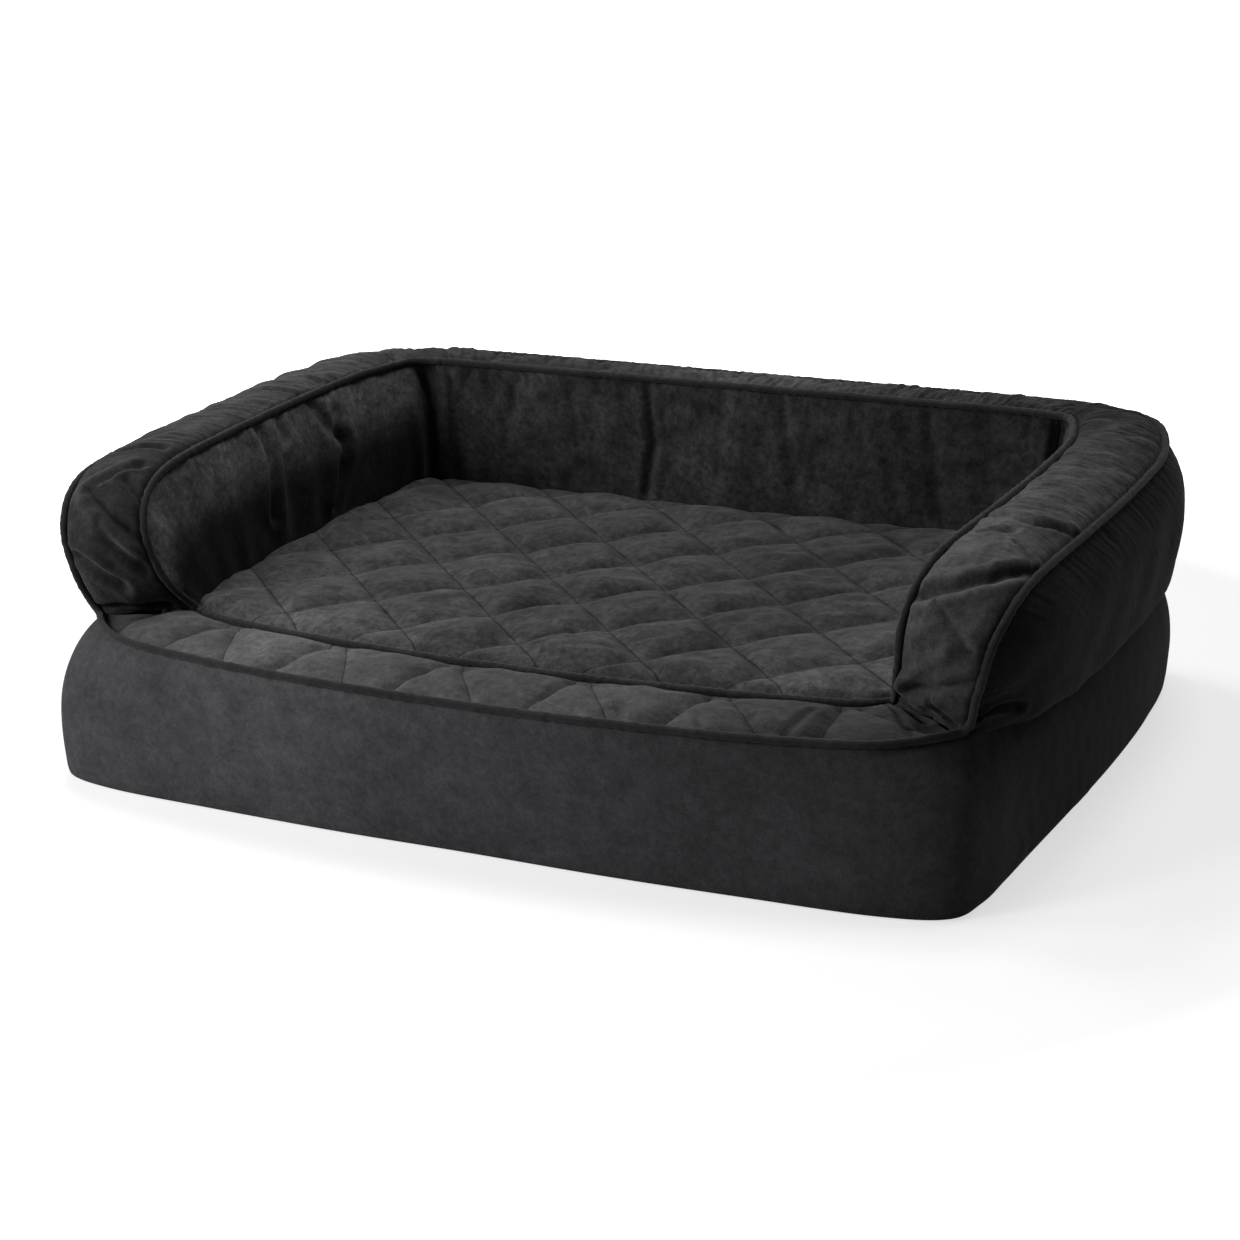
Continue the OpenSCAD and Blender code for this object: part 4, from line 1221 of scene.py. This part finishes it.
def sleeping_pad():
    how = (sleeping_relief, 0, 1, PAD_GRID, quilted_velvet, 0.5)
    quilted_piece("sleeping_pad", "sleep_panel", shape["pad"], *how)


def strip_length(name, node, surface, low, high, columns, fill):
    grid = (columns, STRIP_GRID_ROWS)
    quilted_piece(name, node, surface, strip_relief, low, high, grid, strip_velvet, fill)


def lip_cushion():
    strip_length("lip_cushion", "front_lip", strip, -FOOT_WAY, FOOT_WAY, LIP_COLUMNS, 0.6)


def bolster_top(side, name, columns):
    node, low, high = SIDES[side]
    strip_length(name, node + "_top", shape["strip"], low, high, columns, 0.8)


def plain_piece(name, node, surface, relief, low, high, grid, material, slot, cut, over):
    """A plain piece of the cover, cut from one thickness of velvet and sewn over something."""
    obj = cloth_piece(name, surface, relief, low, high, *grid, CLOTH)
    paint(obj, material)
    stand_for(obj, [node], slot)
    cut_from(cut, over)
    return obj


def bolster_wall(side, columns, cut):
    node, low, high = SIDES[side]
    span = (low, high, (columns, WALL_GRID_ROWS))
    made_of = (wall_velvet, "plain_velvet", cut, side + "_insert")
    plain_piece(side + "_wall", node + "_inner", shape["wall"], wall_relief, *span, *made_of)


def side_panel(side, columns, cut):
    node, low, high = SIDES[side]
    span = (low, high, (columns, PANEL_GRID_ROWS))
    made_of = (side_velvet_painted_shade, "plain_velvet", cut, side + "_insert")
    plain_piece(side + "_side", node + "_outer", shape["panel"], panel_relief, *span, *made_of)


def base_border(name, node, low, high, columns, cut):
    span = (low, high, (columns, BORDER_GRID_ROWS))
    made_of = (border_velvet, "border_velvet", cut, FOAM)
    return plain_piece(name, node, border, border_relief, *span, *made_of)


def open_slot(obj):
    """Cuts the zip's opening out of the back border."""
    bm = bmesh.new()
    bm.from_mesh(obj.data)
    for axis, places in ((0, (-SLOT_HALF, SLOT_HALF)), (2, (SLOT_LOW, SLOT_HIGH))):
        for place in places:
            point, normal = Vector((0, 0, 0)), Vector((0, 0, 0))
            point[axis] = place
            normal[axis] = 1
            parts = bm.verts[:] + bm.edges[:] + bm.faces[:]
            bmesh.ops.bisect_plane(bm, geom=parts, plane_co=point, plane_no=normal)
    centres = [(f, f.calc_center_median()) for f in bm.faces]
    inside = [f for f, c in centres if abs(c.x) < SLOT_HALF and SLOT_LOW < c.z < SLOT_HIGH]
    bmesh.ops.delete(bm, geom=inside, context="FACES")
    bm.to_mesh(obj.data)
    bm.free()


# Places on the back border, from which its points are found by width and height
BACK_WAYS = np.linspace(LEFT_CORNER, RIGHT_CORNER, 400)
BACK_X = border(BACK_WAYS, np.full(len(BACK_WAYS), 0.5))[:, 0]
BACK_V = np.linspace(1, 0, 200)


def on_back(x, z):
    """The back border's point at a width and a height."""
    line = border(np.full(len(BACK_V), np.interp(x, BACK_X, BACK_WAYS)), BACK_V)
    return Vector((x, np.interp(z, line[:, 2], line[:, 1]), z))


# How far the edges of stitches and hooks are rounded, and the core that the coil turns round
STITCH_ROUND = 0.3 * STITCH_THICK
HOOK_ROUND = 0.35 * HOOK_WIDE
CORE_DEEP = 0.6 * HOOK_DEEP
CORE_TALL = 1.7 * CHAIN_REACH
CORE_SET_BACK = 0.15 * HOOK_DEEP


def stitches(name, corners, over):
    """Thread in short stitches from corner to corner, over the back border or what lies on it;
    over is how far back that reaches."""
    bm = bmesh.new()
    for (x1, z1), (x2, z2) in zip(corners, corners[1:]):
        count = round(math.hypot(x2 - x1, z2 - z1) / STITCH_PITCH)
        turn = Matrix.Rotation(-math.atan2(z2 - z1, x2 - x1), 4, "Y")
        size = Matrix.Diagonal((STITCH_LENGTH, STITCH_THICK, STITCH_THICK, 1))
        for i in range(count):
            s = (i + 0.5) / count
            point = on_back(x1 + (x2 - x1) * s, z1 + (z2 - z1) * s)
            point.y = max(point.y, over)
            place = Matrix.Translation(point)
            bmesh.ops.create_cube(bm, size=1, matrix=place @ turn @ size)
    round_off(bm, STITCH_ROUND)
    obj = finished_mesh(name, bm)
    paint(obj, thread)
    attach(obj, "bed")


def round_off(bm, width):
    how = {"affect": "EDGES", "segments": 1, "profile": 0.5, "material": -1}
    bmesh.ops.bevel(bm, geom=bm.edges[:], offset=width, **how)


def back_cloth(name, low, high, face, columns, rows, thickness):
    """A small cloth that faces backwards, between two corners; face gives its depth there."""
    bm, grid = new_grid(columns, rows)
    for v, (a, b) in zip(bm.verts, grid):
        x = low[0] + a * (high[0] - low[0])
        z = low[1] + b * (high[1] - low[1])
        v.co = (x, face(x, z), z)
    bmesh.ops.reverse_faces(bm, faces=bm.faces)
    obj = finished_mesh(name, bm)
    thicken(obj, thickness)
    return obj


def zip_tape(name, node, measures):
    """A woven tape whose edge beside the chain is folded over a cord."""
    y, low, high = measures
    edge = high if high < CHAIN_Z else low

    def face(x, z):
        fold = TAPE_FOLD * groove(z - edge, TAPE_FOLD_HALF)
        return y + fold + TAPE_WAVE * math.sin(x * TAPE_WAVES_PER_M)

    obj = back_cloth(name, (-SLOT_HALF, low), (SLOT_HALF, high), face, 200, 16, TAPE)
    paint(obj, tape_cloth)
    stand_for(obj, [node], "zip_tape")


def zip_coil():
    """Two nylon coils hooked into each other over a core, closed from end to end."""
    bm = bmesh.new()
    tall = CHAIN_REACH + HOOK_PASS
    size = Matrix.Diagonal((HOOK_WIDE, HOOK_DEEP, tall, 1))
    for i in range(int(4 * CHAIN_HALF / HOOK_PITCH)):
        side = 1 if i % 2 else -1
        x = (i + 0.5) * HOOK_PITCH / 2 - CHAIN_HALF
        place = Matrix.Translation((x, CHAIN_Y, CHAIN_Z + side * (tall / 2 - HOOK_PASS)))
        bmesh.ops.create_cube(bm, size=1, matrix=place @ size)
    core = Matrix.Diagonal((2 * CHAIN_HALF, CORE_DEEP, CORE_TALL, 1))
    place = Matrix.Translation((0, CHAIN_Y - CORE_SET_BACK, CHAIN_Z))
    bmesh.ops.create_cube(bm, size=1, matrix=place @ core)
    round_off(bm, HOOK_ROUND)
    obj = finished_mesh("zip_coil", bm)
    paint(obj, coil_nylon)
    stand_for(obj, ["zip_chain"], "zip_nylon")


def from_node(name, node, voxel, smoothing, material, slot, body):
    """A moulded or cast piece with soft edges, from its node's own form."""
    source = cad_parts[node]
    mesh = source.data.copy()
    mesh.transform(source.matrix_world)
    obj = link(name, mesh)
    remesh = obj.modifiers.new("even", "REMESH")
    remesh.mode = "VOXEL"
    remesh.voxel_size = voxel
    remesh.use_smooth_shade = True
    smooth = obj.modifiers.new("worn", "SMOOTH")
    smooth.iterations = smoothing
    paint(obj, material)
    stand_for(obj, [node], slot, body)
    return obj


def garage_patch():
    """The fabric pocket that the slider parks beside, drawn in where it is sewn on."""
    low, high = GARAGE_LOW, GARAGE_HIGH

    def face(x, z):
        from_seam = min(x - low[0], z - low[1], high[1] - z)
        return GARAGE_Y - GARAGE_DRAWN * math.exp(-from_seam / GARAGE_DRAWN_REACH)

    obj = back_cloth("garage_patch", low, high, face, 28, 32, GARAGE_CLOTH)
    paint(obj, border_velvet)
    keep(obj.data, "nap_and_painted_light", np.ones(len(obj.data.vertices)))
    stand_for(obj, ["zip_garage"], "border_velvet")


# The angle in radians past which a cut edge is rounded
SHARP = 1.2


def inner_cloth(name, node, slot, material, worn, cut, over):
    """A hidden flat cloth, from its node's own form with its cut edges rounded."""
    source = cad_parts[node]
    bm = bmesh.new()
    bm.from_mesh(source.data)
    bmesh.ops.transform(bm, matrix=source.matrix_world, verts=bm.verts)
    bmesh.ops.remove_doubles(bm, verts=bm.verts, dist=1e-5)
    bmesh.ops.dissolve_limit(bm, angle_limit=math.radians(1), verts=bm.verts, edges=bm.edges)
    sharp = [e for e in bm.edges if len(e.link_faces) == 2 and e.calc_face_angle() > SHARP]
    bmesh.ops.bevel(bm, geom=sharp, offset=worn, affect="EDGES", segments=2, profile=0.5, material=-1)
    bmesh.ops.triangulate(bm, faces=bm.faces)
    obj = finished_mesh(name, bm, smooth=False)
    paint(obj, material)
    stand_for(obj, [node], slot)
    cut_from(cut, over)


# The points on each of a filling's four sides, and the size that its ends close down to
FILLING_STEPS = 16
INSERT_TIP_SHARE = 0.05


def filling_ring(way):
    """A filling's section, just inside the cover: its top, outer side, floor and inner side."""
    v = np.linspace(0, 1, FILLING_STEPS + 1)[:-1]
    ways = np.full(len(v), way)
    top = relieved(shape["strip"], strip_relief, ways, v)
    side = relieved(shape["panel"], panel_relief, ways, v)
    inside = relieved(shape["wall"], wall_relief, ways, 1 - v)
    s = Station(place_of(ways))
    below = mix(s.base(), s.foot(), v)
    below[:, 2] = BASE_TOP + FILLING_LIFT
    side[:, 2] = np.maximum(side[:, 2], BASE_TOP + FILLING_LIFT)
    ring = np.concatenate([top, side, below, inside])
    middle = ring.mean(0)
    reach = np.linalg.norm(ring - middle, axis=1)[:, None]
    return middle, middle + (ring - middle) * (1 - INSERT_GAP / reach)


def insert(side, low, high, columns, rounds):
    """A stuffed insert between two ways, closed and rounded at both ends."""
    rows = 4 * FILLING_STEPS
    bm, grid = new_grid(columns, rows)
    points = np.empty((len(grid), 3))
    for a in np.unique(grid[:, 0].round(6)):
        way = low + a * (high - low)
        middle, ring = filling_ring(way)
        from_end = min(a / rounds[0], (1 - a) / rounds[1]) * abs(high - low)
        share = math.sqrt(1 - max(0, 1 - from_end) ** 2)
        row = np.abs(grid[:, 0] - a) < 1e-5
        step = (grid[row, 1] * rows).round().astype(int) % rows
        points[row] = middle + (ring[step] - middle) * max(share, INSERT_TIP_SHARE)
    move_to(bm, points)
    bmesh.ops.remove_doubles(bm, verts=bm.verts, dist=1e-5)
    bmesh.ops.holes_fill(bm, edges=bm.edges, sides=0)
    bmesh.ops.recalc_face_normals(bm, faces=bm.faces)
    obj = finished_mesh(side + "_insert", bm)
    paint(obj, fibre_cloth)
    stand_for(obj, [SIDES[side][0] + "_filling"], "fibre")


# How fine the forms taken from the frame are, in metres
FOAM_VOXEL = 0.007
STOP_VOXEL = 0.0003
METAL_VOXEL = 0.0002
METAL_WEAR = 12


def foam_slab(name, node, slot, material, softness):
    """Cut foam with slightly worn edges, from the slab's own outline."""
    obj = from_node(name, node, FOAM_VOXEL, softness, material, slot, "bed")


# The grid that is blown up, and how unevenly it starts, in metres
BOLSTER_COLUMNS = 380
WALL_ROWS = 26
STRIP_ROWS = 18
PANEL_ROWS = 36
START_UNEVEN = 0.0002
START_UNEVEN_SIZE = 0.02


def filled_bolster():
    """The bolster's cover, blown up all round: the walls, the strip and the outer panels."""
    low, high = RIGHT_FOOT, -FOOT_WAY
    ways = np.linspace(low, high, BOLSTER_COLUMNS)
    parts = []
    for surface, rows in ((wall, WALL_ROWS), (strip, STRIP_ROWS), (panel, PANEL_ROWS)):
        down = np.linspace(1, 0, rows) if surface is wall else np.linspace(0, 1, rows)
        a, b = np.meshgrid(ways, down)
        parts.append(surface(a.ravel(), b.ravel()).reshape(rows, len(ways), 3))
    points = np.concatenate([parts[0], parts[1][1:], parts[2][1:]])
    held = np.zeros(points.shape[:2])
    inner_seam, outer_seam = WALL_ROWS - 1, WALL_ROWS + STRIP_ROWS - 2
    held[[0, inner_seam, outer_seam, len(points) - 1]] = 1
    held[:, :2] = 1
    held[:, -2:] = 1
    noise = ripple(points.reshape(-1, 3), START_UNEVEN_SIZE, 71).reshape(held.shape)
    points[..., 2] += START_UNEVEN * noise * (1 - held)
    full = fill_out(points, held)
    shape["wall"] = Filled(wall, full[: inner_seam + 1][::-1], low, high)
    shape["strip"] = Filled(strip, full[inner_seam : outer_seam + 1], low, high)
    shape["panel"] = Filled(panel, full[outer_seam:], low, high)


# The surfaces as they stand, until the bolster is blown up
shape = {"pad": lifted_sleeping, "strip": strip, "wall": wall, "panel": panel}

# What is known of each surface: its quilting lines, its width across in metres, and the sense
# in which a grid over it has to face to look outwards
QUILTED_LINES = {strip: strip_lines, lifted_sleeping: pad_lines}
SEAM_TO_SEAM = {
    strip: STRIP_WIDTH,
    wall: WALL_HEIGHT,
    panel: PANEL_HEIGHT,
    border: BORDER_HEIGHT,
    lifted_sleeping: PAD_DEPTH,
}
FACING = {strip: -1, wall: 1, panel: -1, border: -1, lifted_sleeping: 1}

filled_bolster()

# The cover
sleeping_pad()
lip_cushion()
bolster_top("left", "left_top", 330)
bolster_top("back", "back_top_strip", 400)
bolster_top("right", "right_top", 330)
bolster_wall("left", 300, ARM_WALL_CUT)
bolster_wall("back", 360, BACK_WALL_CUT)
bolster_wall("right", 300, ARM_WALL_CUT)
side_panel("left", 330, ARM_PANEL_CUT)
side_panel("back", 360, BACK_PANEL_CUT)
side_panel("right", 330, ARM_PANEL_CUT)
base_border("front_and_side_border", "border_wrap", LEFT_CORNER, CORNER_WAY, 700, FRONT_BORDER_CUT)
open_slot(base_border("rear_border", "back_border", RIGHT_CORNER, LEFT_CORNER, 360, BACK_BORDER_CUT))

# The fillings and the foam
NOSE_END = way_of(NOSE_FOOT + INSERT_START)
insert("left", LEFT_CORNER + CORNER_SLIP, -NOSE_END, 90, (CORNER_ROUND, INSERT_ROUND))
insert("back", RIGHT_CORNER + CORNER_SLIP, LEFT_CORNER - CORNER_SLIP, 100, (CORNER_ROUND, CORNER_ROUND))
insert("right", NOSE_END - 2 * HALF_LOOP, RIGHT_CORNER - CORNER_SLIP, 90, (INSERT_ROUND, CORNER_ROUND))
foam_slab("support_slab", "support_foam_slab", "support_foam", grey_foam, 2)
foam_slab("memory_slab", "memory_foam_slab", "memory_foam", cream_foam, 4)

# The piping
piping_loop("inner_welt", "inner_piping", "inner", 61)
piping_loop("outer_welt", "outer_piping", "outer", 62)

# The zip and its stitching
zip_tape("upper_tape", "zip_tape_upper", UPPER_TAPE)
zip_tape("lower_tape", "zip_tape_lower", LOWER_TAPE)
zip_coil()
from_node("end_stops", "zip_end_stops", STOP_VOXEL, 2, coil_nylon, "zip_nylon", "bed")
CAST = (METAL_VOXEL, METAL_WEAR, black_metal, "zip_metal")
from_node("slider_body", "zip_slider", *CAST, "slider")
from_node("pull_tab", "zip_pull", *CAST, "pull")
garage_patch()
top, low, end = SLOT_HIGH + HEM_STITCH, SLOT_LOW - HEM_STITCH, SLOT_HALF + HEM_STITCH
stitches("slot_stitches", [(-end, top), (end, top), (end, low), (-end, low)], 0)
left, right = GARAGE_LOW[0] + PATCH_HEM, GARAGE_HIGH[0] - PATCH_END
low, top = GARAGE_LOW[1] + PATCH_HEM, GARAGE_HIGH[1] - PATCH_HEM
stitches("patch_stitches", [(right, top), (left, top), (left, low), (right, low)], PATCH_STITCH_Y)

# The hidden cloths
inner_cloth("bottom_cloth", "bottom_panel", "grip_cloth", grip_cloth, 0.0008, BOTTOM_CUT, FOAM[:1])
inner_cloth("floor_cloth", "chamber_floor", "inner_cloth", woven_cotton, 0.0003, FLOOR_CUT, FOAM[1:])
inner_cloth("liner_bag", "foam_liner", "liner", liner_film, 0.0001, LINER_CUT, FOAM)


# The stage: a white floor and backdrop, five soft lamps and a very little light all round
ROOM_LIGHT = 0.005
FLOOR_HALF = 6
FLOOR_MATT = 0.6
FLOOR_SHARE = 0.3
FLOOR_GLOW = 2.2
SHADOW_FADES_BETWEEN = (0.75, 1.25)
LIT_POINT = (0, 0, 0.1)


def seen_share(s):
    """1 where the camera sees a surface itself, in a mirror or through glass."""
    seen = s.node("ShaderNodeLightPath", output="Is Camera Ray")
    mirrored_ray = s.node("ShaderNodeLightPath", output="Is Glossy Ray")
    passed = s.node("ShaderNodeLightPath", output="Is Transmission Ray")
    return s.node("ShaderNodeClamp", None, {0: seen + mirrored_ray + passed})


def room():
    world = bpy.data.worlds.new("studio")
    bpy.context.scene.world = world
    s = Shader("studio_light", world)
    white = {"Color": (1, 1, 1, 1)}
    lit = s.node("ShaderNodeBackground", None, {**white, "Strength": ROOM_LIGHT})
    plain = s.node("ShaderNodeBackground", None, {**white, "Strength": 1.0})
    both = s.node("ShaderNodeMixShader", None, {"Fac": seen_share(s), 1: lit, 2: plain})
    s.node("ShaderNodeOutputWorld", None, {"Surface": both})


def floor():
    bm = bmesh.new()
    bmesh.ops.create_grid(bm, x_segments=1, y_segments=1, size=FLOOR_HALF)
    obj = finished_mesh("floor", bm, smooth=False)
    s = Shader("white_floor")
    apart = s.node("ShaderNodeVectorMath", {"operation": "LENGTH"}, {0: s.place()}, output="Value")
    plain = s.spread(apart, *SHADOW_FADES_BETWEEN, FLOOR_SHARE, 1)
    matt = s.node("ShaderNodeBsdfDiffuse", None, {"Color": (*[FLOOR_MATT] * 3, 1)})
    glow = s.node("ShaderNodeEmission", None, {"Color": (1, 1, 1, 1), "Strength": FLOOR_GLOW})
    both = s.node("ShaderNodeMixShader", None, {"Fac": seen_share(s) * plain, 1: matt, 2: glow})
    s.node("ShaderNodeOutputMaterial", None, {"Surface": both})
    paint(obj, s.material)


def lamp(name, energy, size, place):
    data = bpy.data.lights.new(name, "AREA")
    data.energy = energy
    data.size = size
    obj = link(name, data)
    obj.location = place
    obj.rotation_euler = (Vector(LIT_POINT) - Vector(place)).to_track_quat("-Z", "Y").to_euler()


# The camera as fitted to the photograph: degrees, metres, and lengths in pixels of its frame
YAW = 26.30
PITCH = 18.846
ROLL = -1.862
CAMERA_PLACE = (1.138, -2.321, 0.988)
FOCAL_PIXELS = 2874
FRAME_PIXELS = 1240
SENSOR = 36


def camera():
    yaw, pitch, roll = (math.radians(a) for a in (YAW, PITCH, ROLL))
    level = Vector((math.cos(yaw), math.sin(yaw), 0))
    inwards = Vector((-math.sin(yaw), math.cos(yaw), 0))
    ahead = inwards * math.cos(pitch) - Vector((0, 0, math.sin(pitch)))
    up = level.cross(ahead)
    right = level * math.cos(roll) + up * math.sin(roll)
    top = up * math.cos(roll) - level * math.sin(roll)
    data = bpy.data.cameras.new("camera")
    data.sensor_width = SENSOR
    data.lens = SENSOR * FOCAL_PIXELS / FRAME_PIXELS
    obj = link("camera", data)
    turn = Matrix((right, top, -ahead)).transposed().to_4x4()
    obj.matrix_world = Matrix.Translation(CAMERA_PLACE) @ turn
    bpy.context.scene.camera = obj


room()
floor()
lamp("left_light", 19, 0.7, (-1.8, -1.0, 0.9))
lamp("front_light", 26, 0.7, (-1.2, -1.9, 1.3))
lamp("top_light", 14, 0.5, (-0.75, 0.5, 2.0))
lamp("back_left_light", 8, 0.5, (-1.3, 0.9, 1.5))
lamp("right_top_light", 16, 0.7, (0.5, 0.3, 2.1))
camera()
bpy.context.scene.view_settings.view_transform = "Standard"
